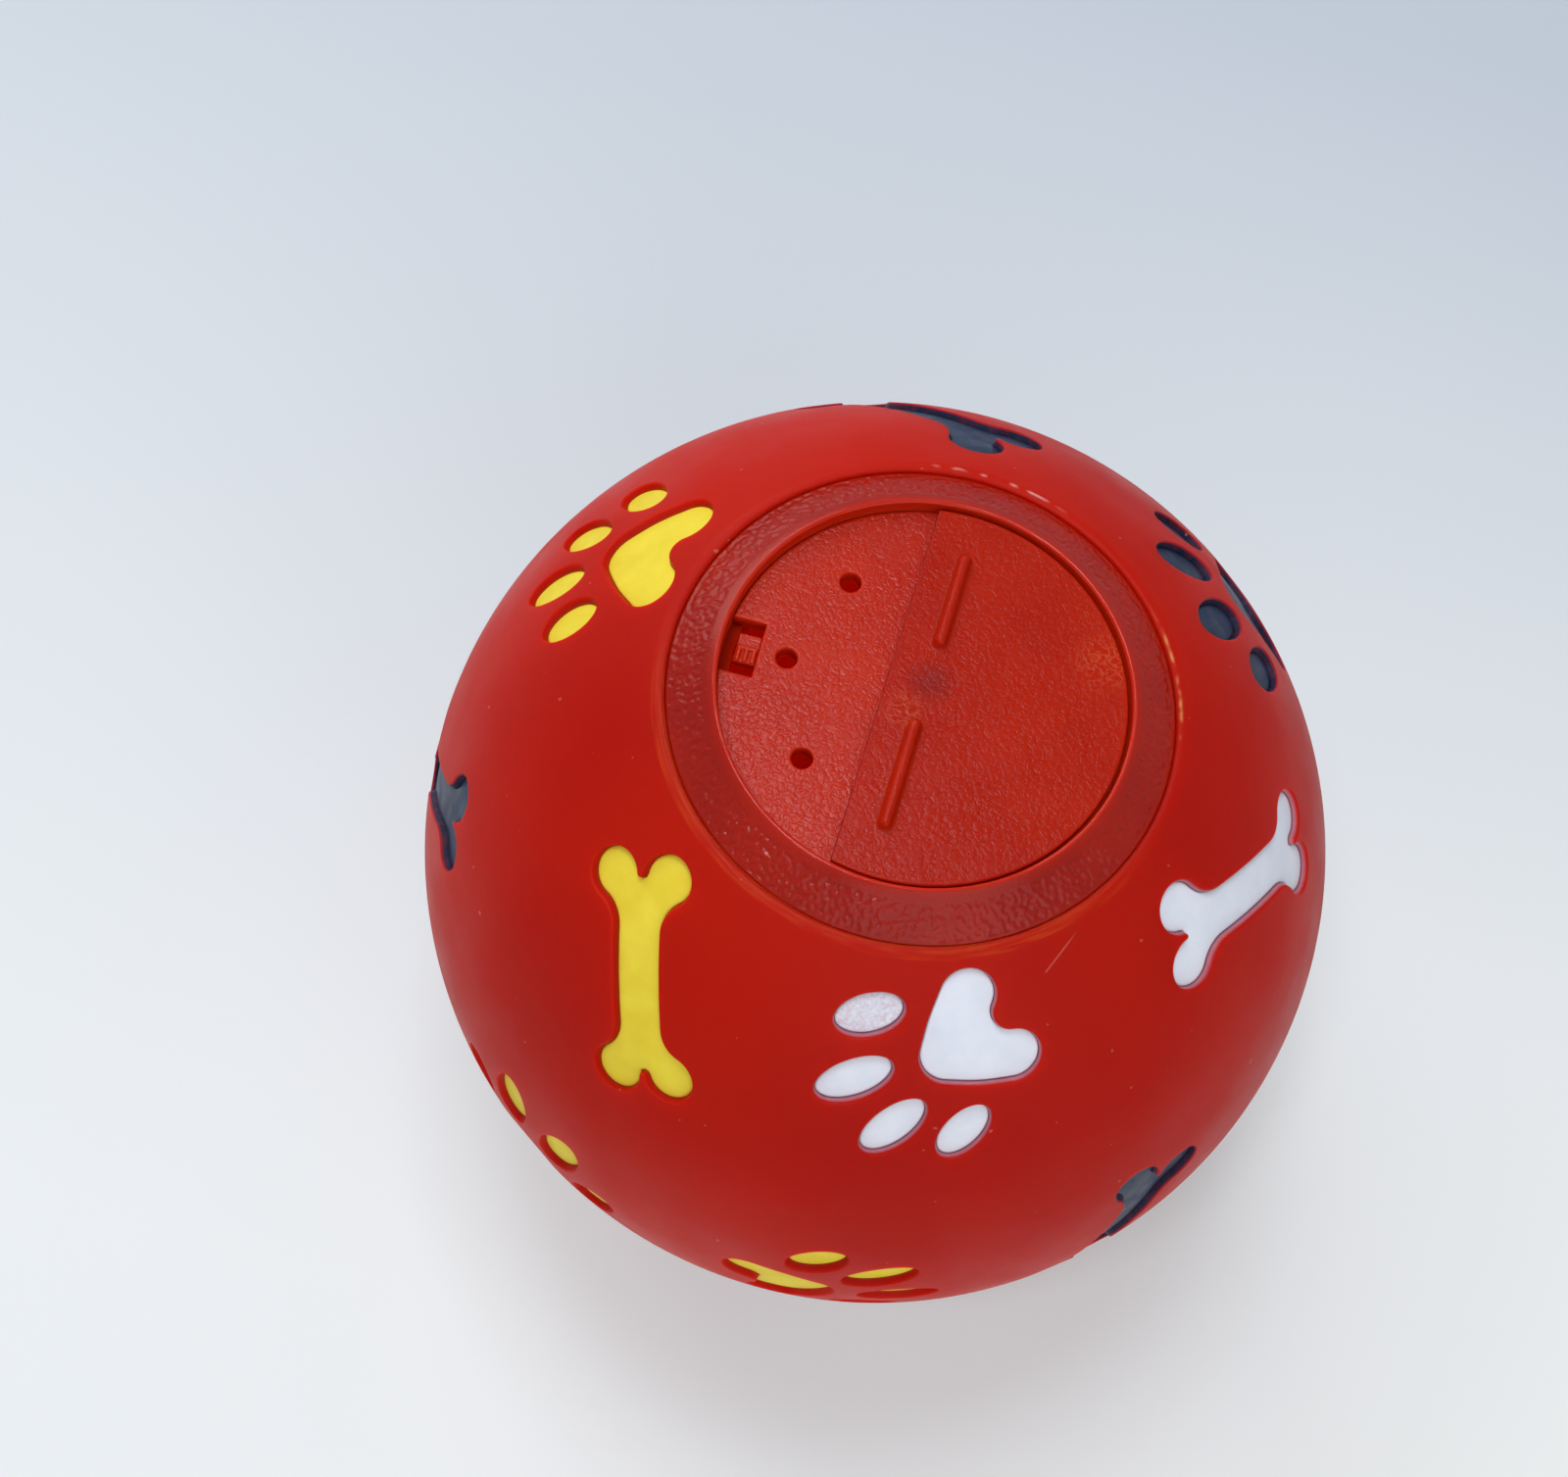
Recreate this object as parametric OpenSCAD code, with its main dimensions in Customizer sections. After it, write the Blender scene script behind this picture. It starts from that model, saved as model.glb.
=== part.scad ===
// Treat ball: a hollow soft ball with sunk, painted paws and bones, and a snap-in cap.
// A shutter on the cap turns to cover or open the treat port.
// The origin is the centre of the ball. +Z points out of the middle of the cap.
// -X points to the click tongue and +X to the treat port. All sizes are in millimetres.

/* [Ball] */
// Outside diameter of the ball
ball_d = 110; // [100:1:130]
// Thickness of the ball's wall
ball_wall = 3.2; // [2.6:0.1:4]
// Rounding of the mouth's lip
lip_round = 0.7; // [0.3:0.1:1]

/* [Motifs] */
// Depth of the sunk motifs
recess_depth = 1; // [0.8:0.1:2]
// Thickness of the paint on a motif's floor
paint_t = 0.2; // [0.1:0.05:0.4]
// Bare edge between the paint and the motif's wall
paint_gap = 0.05; // [0.02:0.01:0.2]

/* [Paw] */
// Radius of the pad's blunt front
pad_front_r = 3.2; // [2.8:0.1:3.6]
// Radius of the pad's two rear lobes
pad_lobe_r = 2.9; // [2.6:0.1:3.2]
// Distance of the rear lobes from the pad's front
pad_lobe_reach = 6.6; // [6.2:0.1:7.2]
// Angle of each rear lobe from the paw's middle line
pad_lobe_angle = 40; // [37:1:43]
// Distance of the notch between the lobes from the pad's front
pad_notch = 5.6; // [5.2:0.1:6]
// Distance of the inner toes from the pad's front
inner_toe_reach = 10.1; // [9.6:0.1:10.8]
// Angle of each inner toe from the paw's middle line
inner_toe_angle = 20.5; // [18:0.5:23]
// Splay of each inner toe
inner_toe_splay = 10; // [0:1:20]
// Length of an inner toe
inner_toe_l = 8.5; // [7.5:0.1:9]
// Distance of the outer toes from the pad's front
outer_toe_reach = 9.5; // [9:0.1:10.2]
// Angle of each outer toe from the paw's middle line
outer_toe_angle = 65; // [61:1:69]
// Splay of each outer toe
outer_toe_splay = 19; // [10:1:30]
// Length of an outer toe
outer_toe_l = 7.3; // [6.5:0.1:8]
// Width of a toe
toe_w = 4.4; // [3.8:0.1:4.8]

/* [Bone] */
// Distance between the lobes at the bone's two ends
bone_l = 21.5; // [19:0.5:24]
// Distance between the two lobes of one end
bone_lobe_pitch = 6.3; // [6:0.1:7]
// Diameter of a lobe
bone_lobe_d = 5.4; // [4.8:0.1:5.6]
// Width of the bone's shaft
bone_shaft_w = 5.3; // [4.6:0.1:5.8]
// Radius of the arcs between the shaft and the lobes
bone_fillet = 3.6; // [2.5:0.1:4.5]
// Depth of the notch between two lobes, behind their centres
bone_notch = 0.1; // [0:0.1:0.8]

/* [Collar] */
// Clearance between the collar and the ball's mouth
collar_gap = 0.15; // [0.05:0.05:0.3]
// How far the collar's face lies below the ball's surface, at the well
collar_drop = 0.3; // [0:0.1:0.6]
// How far the collar's face lies below the ball's surface, at its outer edge
collar_edge_drop = 1; // [0.5:0.1:1.4]
// Height of the collar's outer edge
collar_edge_h = 1; // [0.8:0.1:1.4]
// Diameter of the well for the base plate and the shutter
well_d = 43.5; // [43:0.1:48]
// Thickness of the collar's wall between the well and the neck, which the ball's bead grips
neck_wall = 3.75; // [3:0.05:4.5]
// How far the collar's outer edge stands out over the neck
flange_w = 1.5; // [1:0.1:2]
// How far the hooked lower edge stands out from the neck
hook_w = 1.7; // [1.2:0.1:2]
// Height of the hooked lower edge
hook_h = 2.4; // [1.5:0.1:4]
// Rounding of the well's rim
rim_round = 0.7; // [0.3:0.1:1]
// Width of the shoulder that the base plate sits on
shoulder_w = 1.15; // [0.8:0.05:1.3]

/* [Base plate] */
// Thickness of the base plate
plate_t = 2; // [1.5:0.1:3]
// Clearance between the base plate's edge and the well
plate_gap = 0.05; // [0.02:0.01:0.1]
// Diameter of the three small holes
hole_d = 2.3; // [1.5:0.1:3]
// Diameter of the circle that the small holes lie on
hole_ring_d = 29.7; // [26:0.1:30]
// Angle from one small hole to the next
hole_step = 45; // [30:1:50]
// Diameter of the treat port
port_d = 14; // [10:0.5:15]
// Distance of the treat port from the middle
port_offset = 12.5; // [11.5:0.1:13]

/* [Click tongue] */
// Width of the tongue
tongue_w = 3.3; // [2.5:0.1:4.5]
// Length of the tongue
tongue_l = 2.45; // [2:0.05:3]
// Thickness of the tongue
tongue_t = 1.2; // [0.8:0.1:1.4]
// How far the tongue lies below the base plate's top
tongue_sink = 0.4; // [0.35:0.05:0.6]
// Width of the slot on each side of the tongue
tongue_slot = 1.5; // [0.8:0.1:2]
// Width of the slot at the tongue's free end
tongue_end_slot = 1.4; // [1.2:0.1:2]
// Clearance where the tongue joins the base plate
tongue_root_gap = 0.2; // [0.15:0.05:0.3]
// Width of a ridge on the tongue
ridge_w = 0.4; // [0.3:0.05:0.5]
// Height of a ridge on the tongue
ridge_h = 0.3; // [0.15:0.05:0.3]
// Number of short ridges across the tongue
ridge_count = 3; // [1:1:3]

/* [Shutter] */
// Thickness of the shutter
shutter_t = 1; // [0.7:0.1:1.4]
// How far the shutter's top lies below the collar's rim
shutter_inset = 0.4; // [0.2:0.1:0.8]
// Clearance between the shutter and the base plate
shutter_gap = 0.2; // [0.15:0.05:0.4]
// Clearance between the shutter's edge and the well
shutter_edge_gap = 0.35; // [0.2:0.05:0.6]
// Turn of the shutter at rest. At turn 0 its straight edge faces the tongue
shutter_rest = -2.3; // [-10:0.1:10]
// Distance of the straight edge from the middle
chord_offset = 4.2; // [3.6:0.1:4.8]
// Width of a grip rib
rib_w = 1.5; // [1:0.1:2]
// Height of a grip rib
rib_h = 1; // [1:0.1:1.6]
// Length of the grip rib on the +Y side
rib_l = 11.5; // [8:0.5:13]
// Distance of that rib's inner end from the middle
rib_start = 5; // [3.5:0.5:6]
// Length of the longer grip rib, on the -Y side
long_rib_l = 12.8; // [9:0.1:14]
// Distance of the longer rib's inner end from the middle
long_rib_start = 3.5; // [3:0.1:6]

/* [Snap boss] */
// Diameter of the boss that the shutter turns on
boss_d = 6; // [5:0.1:7]
// Clearance between the boss and its bore
boss_gap = 0.05; // [0.02:0.01:0.1]
// How far the snap edge stands out from the boss
snap_w = 0.7; // [0.4:0.1:1]
// Height of the snap edge
snap_h = 1.4; // [1:0.1:2]
// Clearance between the snap edge and the base plate
snap_gap = 0.3; // [0.2:0.05:0.5]
// Width of the slots that split the boss
split_w = 1; // [0.6:0.1:1.4]

/* [Hidden] */
$fn = 96;

// The ball
ball_r = ball_d / 2;
cavity_r = ball_r - ball_wall;
floor_r = ball_r - recess_depth;
// How far cuts run past what they cut, and how deep joined shapes run into each other
over = 1;
bite = 0.5;

// Height on a sphere of radius s, at distance r from the axis
function height_at(s, r) = sqrt(s * s - r * r);

// The collar, from its well outwards, and the ball's mouth round it
well_r = well_d / 2;
shoulder_r = well_r - shoulder_w;
neck_r = well_r + neck_wall;
collar_r = neck_r + flange_w;
hook_r = neck_r + hook_w;
mouth_r = collar_r + collar_gap;
bead_in_r = neck_r + collar_gap;
bead_out_r = hook_r + collar_gap;

// The collar's face: part of a sphere, whose centre lies on the axis
face_in_z = height_at(ball_r, well_r) - collar_drop;
face_out_z = height_at(ball_r, collar_r) - collar_edge_drop;
face_z = (well_r ^ 2 + face_in_z ^ 2 - collar_r ^ 2 - face_out_z ^ 2) / (2 * (face_in_z - face_out_z));
face_r = norm([well_r, face_in_z - face_z]);

// The collar, from its face down
rim_z = face_z + height_at(face_r - rim_round, well_r + rim_round) + rim_round;
ledge_z = face_out_z - collar_edge_h;
bead_z = height_at(cavity_r, bead_out_r);
hook_z = bead_z - collar_gap;

// The base plate and the shutter hang from the rim
shutter_r = well_r - shutter_edge_gap;
shutter_top = rim_z - shutter_inset;
shutter_z = shutter_top - shutter_t;
plate_r = well_r - plate_gap;
plate_top = shutter_z - shutter_gap;
plate_z = plate_top - plate_t;
bore_r = boss_d / 2 + boss_gap;
tongue_tip = plate_r - tongue_end_slot;
tongue_root = tongue_tip - tongue_l;
snap_z = plate_z - snap_gap - snap_h;

// The paw and the bone are drawn with arcs that run into each other.
// The pad's rear lobes, and the arc that rounds the notch between them
pad_lobe_x = pad_lobe_reach * sin(pad_lobe_angle);
pad_lobe_y = -pad_lobe_reach * cos(pad_lobe_angle);
pad_notch_step = pad_notch + pad_lobe_y;
pad_notch_r = (pad_lobe_x ^ 2 + pad_notch_step ^ 2 - pad_lobe_r ^ 2)
    / (2 * (pad_lobe_r - pad_notch_step));
pad_notch_y = -pad_notch - pad_notch_r;
// Where the pad's front runs into its sides, and its lobes into the notch
pad_side_angle = pad_lobe_angle - asin((pad_front_r - pad_lobe_r) / pad_lobe_reach);
pad_dip_angle = atan2(pad_lobe_y - pad_notch_y, pad_lobe_x);
// The bone's lobes, the arcs between them and its shaft, and the arcs that notch its ends
bone_lobe_r = bone_lobe_d / 2;
bone_lobe_x = bone_l / 2;
bone_lobe_y = bone_lobe_pitch / 2;
fillet_y = bone_shaft_w / 2 + bone_fillet;
fillet_x = bone_lobe_x - height_at(bone_lobe_r + bone_fillet, fillet_y - bone_lobe_y);
end_notch_r = (bone_lobe_y ^ 2 + bone_notch ^ 2 - bone_lobe_r ^ 2) / (2 * (bone_lobe_r + bone_notch));
end_notch_x = bone_lobe_x - bone_notch + end_notch_r;
// Where the bone's lobes run into its fillets and its end notches
fillet_angle = atan2(fillet_y - bone_lobe_y, bone_lobe_x - fillet_x);
end_dip_angle = atan2(bone_lobe_y, end_notch_x - bone_lobe_x);
// Number of straight steps in each arc of the outlines
front_count = 8;
lobe_count = 10;
dip_count = 4;
fillet_count = 5;
toe_count = 20;
// The widest angle from a motif's middle to its edge, seen from the ball's centre
motif_angle = 30;

red = "#b31a10";
white = "#e4e5ea";
yellow = "#e2c83c";
navy = "#16263f";

// Each motif: name, shape, colour, latitude, longitude, turn and size.
// At turn 0 a paw's toes point to the cap and a bone lies level.
MOTIFS = [
    ["white_paw_top", "paw", white, 47.9, 289.1, 125, 1],
    ["white_bone_top", "bone", white, 42.8, 350, -32, 1.03],
    ["navy_paw_top", "paw", navy, 35.6, 41.5, -3, 1.13],
    ["navy_bone_top", "bone", navy, 39.4, 101.6, -46, 1.12],
    ["yellow_paw_top", "paw", yellow, 47.9, 162.4, 188.8, 1.07],
    ["yellow_bone_top", "bone", yellow, 42.2, 238.5, -52.5, 1],
    ["navy_bone_side", "bone", navy, 15.2, 193.5, 48.2, 0.95],
    ["yellow_paw_side", "paw", yellow, -6, 236.3, -4, 1.17],
    ["yellow_paw_front", "paw", yellow, 2.2, 275.3, -67, 1.05],
    ["navy_bone_front", "bone", navy, 6, 314.6, 68.3, 1],
    ["yellow_bone_side", "bone", yellow, 0, 357, 62, 1],
    ["white_paw_side", "paw", white, -9, 38, 12, 1],
    ["yellow_paw_back", "paw", yellow, 2, 80, 200, 1.1],
    ["white_bone_side", "bone", white, 0, 114, -60, 1],
    ["white_paw_back", "paw", white, -2, 152, 100, 1],
    ["navy_paw_low", "paw", navy, -42, 5, 150, 1],
    ["white_bone_low", "bone", white, -40, 77, 20, 1],
    ["yellow_paw_low", "paw", yellow, -42, 149, -60, 1.1],
    ["navy_bone_low", "bone", navy, -41, 218, -35, 1],
    ["white_paw_low", "paw", white, -41, 293, 60, 1]
];

// What to cut from a profile to round the edge between a bore and a sphere
module rounded_edge(bore, sphere_radius, round) {
    centre_x = bore + round;
    centre_z = height_at(sphere_radius - round, centre_x);
    reach = (sphere_radius + over) / (sphere_radius - round);
    difference() {
        polygon([
            [centre_x, centre_z],
            [bore - over, centre_z],
            [bore - over, sphere_radius],
            [centre_x * reach, centre_z * reach]
        ]);
        translate([centre_x, centre_z]) circle(r = round);
    }
}

// The right half of a disc on the axis
module half_disc(r) {
    intersection() {
        circle(r = r);
        translate([0, -r]) square([r, 2 * r]);
    }
}

// Points along an arc, without its last point, where the next arc begins
function arc(centre, r, from, to, steps) = [
    for (i = [0 : steps - 1])
        let (angle = from + (to - from) * i / steps)
        centre + r * [cos(angle), sin(angle)]
];

// Outline of a paw's pad, with the toes' side along +Y and its front's centre at the origin
function pad_outline(inset) =
    let (side = pad_side_angle, dip = pad_dip_angle)
    concat(
        arc([0, 0], pad_front_r - inset, side, 180 - side, front_count),
        arc([-pad_lobe_x, pad_lobe_y], pad_lobe_r - inset, 180 - side, 360 - dip, lobe_count),
        arc([0, pad_notch_y], pad_notch_r + inset, 180 - dip, dip, dip_count),
        arc([pad_lobe_x, pad_lobe_y], pad_lobe_r - inset, 180 + dip, 360 + side, lobe_count)
    );

// Outline of a bone, long along X: half of it, and the same half turned about
function bone_outline(inset) =
    let (
        lobe_r = bone_lobe_r - inset,
        fillet_r = bone_fillet + inset,
        lean = fillet_angle,
        dip = end_dip_angle,
        half = concat(
            arc([bone_lobe_x, bone_lobe_y], lobe_r, -dip, 180 - lean, lobe_count),
            arc([fillet_x, fillet_y], fillet_r, -lean, -90, fillet_count),
            [[fillet_x, fillet_y - fillet_r]],
            arc([-fillet_x, fillet_y], fillet_r, -90, lean - 180, fillet_count),
            arc([-bone_lobe_x, bone_lobe_y], lobe_r, lean, 180 + dip, lobe_count),
            arc([-end_notch_x, 0], end_notch_r + inset, dip, -dip, dip_count)
        )
    )
    concat(half, [for (point = half) -point]);

// One toe, out along its own direction from the pad's front
module toe(angle, reach, splay, length, inset) {
    rotate(-angle) translate([0, reach]) rotate(angle - splay) polygon([
        for (i = [0 : toe_count - 1])
            let (a = 360 * i / toe_count)
            [(toe_w / 2 - inset) * cos(a), (length / 2 - inset) * sin(a)]
    ]);
}

module paw(inset) {
    polygon(pad_outline(inset));
    for (side = [-1, 1]) {
        toe(side * inner_toe_angle, inner_toe_reach, side * inner_toe_splay, inner_toe_l, inset);
        toe(side * outer_toe_angle, outer_toe_reach, side * outer_toe_splay, outer_toe_l, inset);
    }
}

module bone(inset) {
    polygon(bone_outline(inset));
}

// A motif's outline as a prism that stands through the ball's skin, drawn in by inset
module motif_prism(motif, inset) {
    shape = motif[1];
    latitude = motif[3];
    longitude = motif[4];
    turn = motif[5];
    size = motif[6];
    base = floor_r * cos(motif_angle);
    rotate([0, 90 - latitude, longitude]) rotate([0, 0, 90 + turn])
        translate([0, 0, base]) linear_extrude(ball_r + over - base) scale(size)
            if (shape == "paw") paw(inset / size);
            else bone(inset / size);
}

// The soft ball: a hollow sphere with a lipped mouth, a bead inside it and the sunk motifs
module ball_shell() {
    color(red) difference() {
        rotate_extrude() difference() {
            union() {
                difference() {
                    half_disc(ball_r);
                    circle(r = cavity_r);
                }
                translate([bead_in_r, bead_z]) square([bead_out_r - bead_in_r, ledge_z - bead_z]);
            }
            translate([0, bead_z - over]) square([bead_in_r, ball_r]);
            translate([0, ledge_z]) square([mouth_r, ball_r]);
            rounded_edge(mouth_r, ball_r, lip_round);
        }
        difference() {
            for (motif = MOTIFS) motif_prism(motif, 0);
            sphere(r = floor_r);
        }
    }
}

// The collar: a spool that the ball's bead grips, with a well for the base plate and the shutter
module collar() {
    low_z = hook_z - hook_h;
    color(red) rotate_extrude() difference() {
        intersection() {
            translate([0, face_z]) half_disc(face_r);
            polygon([
                [shoulder_r, low_z],
                [neck_r, low_z],
                [hook_r, hook_z],
                [neck_r, hook_z],
                [neck_r, ledge_z],
                [collar_r, ledge_z],
                [collar_r, ball_r],
                [well_r, ball_r],
                [well_r, plate_z],
                [shoulder_r, plate_z]
            ]);
        }
        translate([0, face_z]) rounded_edge(well_r, face_r, rim_round);
    }
}

// The fixed disc in the well, with the treat port, the small holes and the room for the tongue
module base_plate() {
    hole_z = plate_z - over;
    hole_h = plate_t + 2 * over;
    window_w = tongue_w + 2 * tongue_slot;
    color(red) difference() {
        translate([0, 0, plate_z]) cylinder(r = plate_r, h = plate_t);
        translate([0, 0, hole_z]) cylinder(r = bore_r, h = hole_h);
        translate([port_offset, 0, hole_z]) cylinder(d = port_d, h = hole_h);
        for (step = [-1 : 1]) rotate([0, 0, 180 + step * hole_step])
            translate([hole_ring_d / 2, 0, hole_z]) cylinder(d = hole_d, h = hole_h);
        translate([-tongue_root - plate_r, -window_w / 2, hole_z]) cube([plate_r, window_w, hole_h]);
    }
}

// The springy tongue in the base plate's edge: one ridge runs along it, and short ones meet that
module click_tongue() {
    length = tongue_l - tongue_root_gap;
    pitch = length / ridge_count;
    color(red) translate([-tongue_tip, 0, plate_top - tongue_sink]) {
        translate([0, -tongue_w / 2, -tongue_t]) cube([length, tongue_w, tongue_t]);
        translate([0, -ridge_w / 2, -bite]) cube([length, ridge_w, ridge_h + bite]);
        for (row = [0 : ridge_count - 1])
            translate([pitch * (row + 0.5) - ridge_w / 2, -tongue_w / 2, -bite])
                cube([ridge_w, tongue_w / 2, ridge_h + bite]);
    }
}

// A grip rib with round ends and a round top, along +Y, whose inner end is at start
module grip_rib(start, length) {
    round = rib_w / 2;
    axis_z = rib_h - round;
    run = length - rib_w;
    translate([0, start + round, shutter_top]) {
        translate([-round, 0, -bite]) cube([rib_w, run, axis_z + bite]);
        translate([0, 0, axis_z]) rotate([-90, 0, 0]) cylinder(r = round, h = run);
        for (end = [0, run]) translate([0, end, 0]) {
            translate([0, 0, -bite]) cylinder(r = round, h = axis_z + bite);
            translate([0, 0, axis_z]) sphere(r = round);
        }
    }
}

// The turning disc, cut off by a straight edge, with its ribs and the split boss that it turns on
module shutter() {
    boss_r = boss_d / 2;
    snap_r = boss_r + snap_w;
    split_h = plate_top - snap_z;
    color(red) rotate([0, 0, shutter_rest]) {
        difference() {
            translate([0, 0, shutter_z]) cylinder(r = shutter_r, h = shutter_t);
            translate([-chord_offset - 2 * shutter_r, -shutter_r, shutter_z - over])
                cube([2 * shutter_r, 2 * shutter_r, shutter_t + 2 * over]);
        }
        grip_rib(rib_start, rib_l);
        rotate([0, 0, 180]) grip_rib(long_rib_start, long_rib_l);
        difference() {
            union() {
                translate([0, 0, snap_z]) cylinder(r = boss_r, h = shutter_top - snap_z - shutter_t / 2);
                translate([0, 0, snap_z]) cylinder(r1 = boss_r, r2 = snap_r, h = snap_h);
            }
            for (turn = [0, 90]) rotate([0, 0, turn])
                translate([-snap_r, -split_w / 2, snap_z - over])
                    cube([2 * snap_r, split_w, split_h + over]);
        }
    }
}

// The coat of paint on one motif's floor
module motif_paint(motif) {
    color(motif[2]) difference() {
        intersection() {
            motif_prism(motif, paint_gap);
            sphere(r = floor_r + paint_t);
        }
        sphere(r = floor_r);
    }
}

ball_shell();
collar();
base_plate();
click_tongue();
shutter();
for (motif = MOTIFS) {
    motif_paint(motif);
}
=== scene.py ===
"""Looks of the treat ball: a soft ball with painted, sunk motifs and a grained snap-in cap.

Shapes are worked out in millimetres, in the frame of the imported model, and become metres
when a piece is made. The ball's centre is the origin and the cap faces +Z.
"""

import math

import bpy
import numpy as np
from mathutils import Matrix, Vector, geometry, kdtree, noise


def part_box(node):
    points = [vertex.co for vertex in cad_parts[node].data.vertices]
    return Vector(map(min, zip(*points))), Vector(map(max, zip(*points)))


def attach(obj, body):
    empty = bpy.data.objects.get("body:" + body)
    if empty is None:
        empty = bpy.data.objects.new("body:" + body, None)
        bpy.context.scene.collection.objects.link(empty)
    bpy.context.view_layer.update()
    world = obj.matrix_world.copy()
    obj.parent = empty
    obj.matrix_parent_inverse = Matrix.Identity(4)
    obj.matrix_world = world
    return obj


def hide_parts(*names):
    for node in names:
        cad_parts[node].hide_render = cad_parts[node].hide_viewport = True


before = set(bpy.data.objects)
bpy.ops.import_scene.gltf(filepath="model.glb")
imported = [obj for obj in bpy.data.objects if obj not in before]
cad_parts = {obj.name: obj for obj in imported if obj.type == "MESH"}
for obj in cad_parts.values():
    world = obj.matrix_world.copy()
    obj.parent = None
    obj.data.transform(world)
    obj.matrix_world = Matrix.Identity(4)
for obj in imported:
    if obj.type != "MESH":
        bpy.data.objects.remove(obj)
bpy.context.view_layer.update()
MM = 0.001


def span(cad_node):
    """Lowest and highest corner of a CAD node, in millimetres."""
    low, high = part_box(cad_node)
    return np.array(low) / MM, np.array(high) / MM


# Sizes that the frame gives
BALL_R = round(-span("ball_shell")[0][2], 2)
COLLAR_LOW_Z = span("collar")[0][2]
HOOK_R = span("collar")[1][0]
PLATE_Z = span("base_plate")[0][2]
PLATE_TOP = span("base_plate")[1][2]
PLATE_R = span("base_plate")[1][1]
TONGUE_LOW, TONGUE_HIGH = span("click_tongue")
SHUTTER_R = span("shutter")[1][1]
SNAP_Z = span("shutter")[0][2]
RIB_TOP = span("shutter")[1][2]

# The ball
BALL_WALL = 3.2
MOUTH_R = 27.15
CAVITY_RINGS = 24
# The motifs: depth, rounding of a wall's edge and foot, and how far a wall leans out above and in below
RECESS = 1.0
EDGE_ROUND = 0.3
FLOOR_ROUND = 0.2
ROUND_STEPS = 6
WALL_SPREAD = 0.12
WALL_DRAFT = 0.08
WALL_RINGS = 3
# The paint's rounded edge, as distance from the wall's foot and height over the floor, and how it wanders
PAINT_EDGE = [(0.05, -0.03), (0.05, 0.09), (0.15, 0.164), (0.33, 0.2)]
PAINT_WANDER = 0.05
PAINT_WANDER_PITCH = 1.6
# The lip round the mouth: where its rounding begins, its fine ridges, and its gap to the collar
LIP_OUT_R = 28.6
LIP_RINGS = 16
LIP_RIDGE = 0.035
LIP_TOUCH = 0.03

# The collar, with the rows of points over which its rim's smooth finish begins
COLLAR_DROP = 0.3
COLLAR_EDGE_DROP = 1.0
COLLAR_GAP = 0.15
COLLAR_EDGE = 1.0
COLLAR_ROUND = 0.14
NECK_R = 25.5
WELL_R = 21.75
SHOULDER_W = 1.15
RIM_BAND = 1.3
RIM_ROUND = 0.35
RIM_STEPS = 12
RIM_FADE_ROWS = 3

# The base plate, the tongue and the shutter
HOLE_R = 1.15
HOLE_RING_R = 14.85
HOLE_STEP = 45
HOLE_PITCH = 0.2
PORT_R = 7.0
PORT_OFFSET = 12.5
BORE_R = 3.05
TONGUE_SLOT = 1.5
TONGUE_ROOT_GAP = 0.2
TONGUE_BEVEL = 0.1
TONGUE_PITCH = 0.1
ROOT_SEAM = 0.02
# How far the tongue leans back under its root, so that it clears the plate when it is pressed
ROOT_LEAN = 0.2
# The tongue's ridges: where a flank's foot lies and how wide it is, as shares of a ridge's width
RIDGE_H = 0.3
RIDGE_W = 0.4
RIDGES = 3
RIDGE_FOOT = 0.75
RIDGE_FLANK = 0.45
RIDGE_PITCH = 0.07
RIDGE_GAP = 0.05
SHUTTER_T = 1.0
SHUTTER_REST = -2.3
RIB_H = 1.0
RIB_W = 1.5
RIBS = [(0, 5.0, 11.5), (180, 3.5, 12.8)]
CHORD = 4.2
BOSS_R = 3.0
BOSS_WALL = 1.6
BOSS_STEPS = 12
SNAP_W = 0.7
SNAP_H = 1.4
SNAP_EDGE = 0.15
SNAP_LEAD = 0.1
SPLIT_W = 1.0
SLAB_BEVEL = 0.16
# Where the middle of a two-step bevel lies, as a share of its width
BEVEL_MID = 0.3

# Spacing of points along outlines and across faces. Gaps and margins beside outlines are in pitches
OUTLINE_PITCH = 0.4
BALL_PITCH = 1.4
SKIN_GAP = 0.55
PAINT_PITCH = 0.84
GRAIN_PITCH = 0.15
GRAIN_GAP = 0.6
GRAIN_MARGIN = 2.2
ARC_STEPS = 3
CIRCLE_STEPS = 24
MOUTH_STEPS = 540
COLLAR_STEPS = 1200

# Moulded grain: the collar's pebbles by pitch, mean and swing, with the rows left smooth at each side,
# and the worm-like grooves of the flat pieces, with a finer second noise
PEBBLES = (0.5, 0.45, -1.3)
PEBBLE_DEPTH = 0.13
PEBBLE_MARGIN = 2
WORM_PITCH = 0.8
WORM_DEPTH = 0.02
WORM_WIDTH = 0.3
WORM_STEEP = 1.5
WORM_WOBBLE = 0.25
WORM_FINE = 2.3

# Where each noise begins, so that no two of them match
PEBBLE_SEED = 1
PAINT_SEED = 5
TRIM_SEED = 8
PLATE_SEED = 11
LIP_GLOW_SEED = 12
SHUTTER_SEED = 23
GLINT_SEED = 31

# Derived sizes, with the angle from -X to each end of the shutter's straight edge
CAVITY_R = BALL_R - BALL_WALL
FLOOR_R = BALL_R - RECESS
COLLAR_R = MOUTH_R - COLLAR_GAP
SHUTTER_TOP = RIB_TOP - RIB_H
SHUTTER_Z = SHUTTER_TOP - SHUTTER_T
CHORD_ANGLE = math.degrees(math.acos(CHORD / SHUTTER_R))


def height_at(sphere_r, r):
    """Height on a sphere at distance r from its axis."""
    return math.sqrt(sphere_r * sphere_r - r * r)


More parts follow.
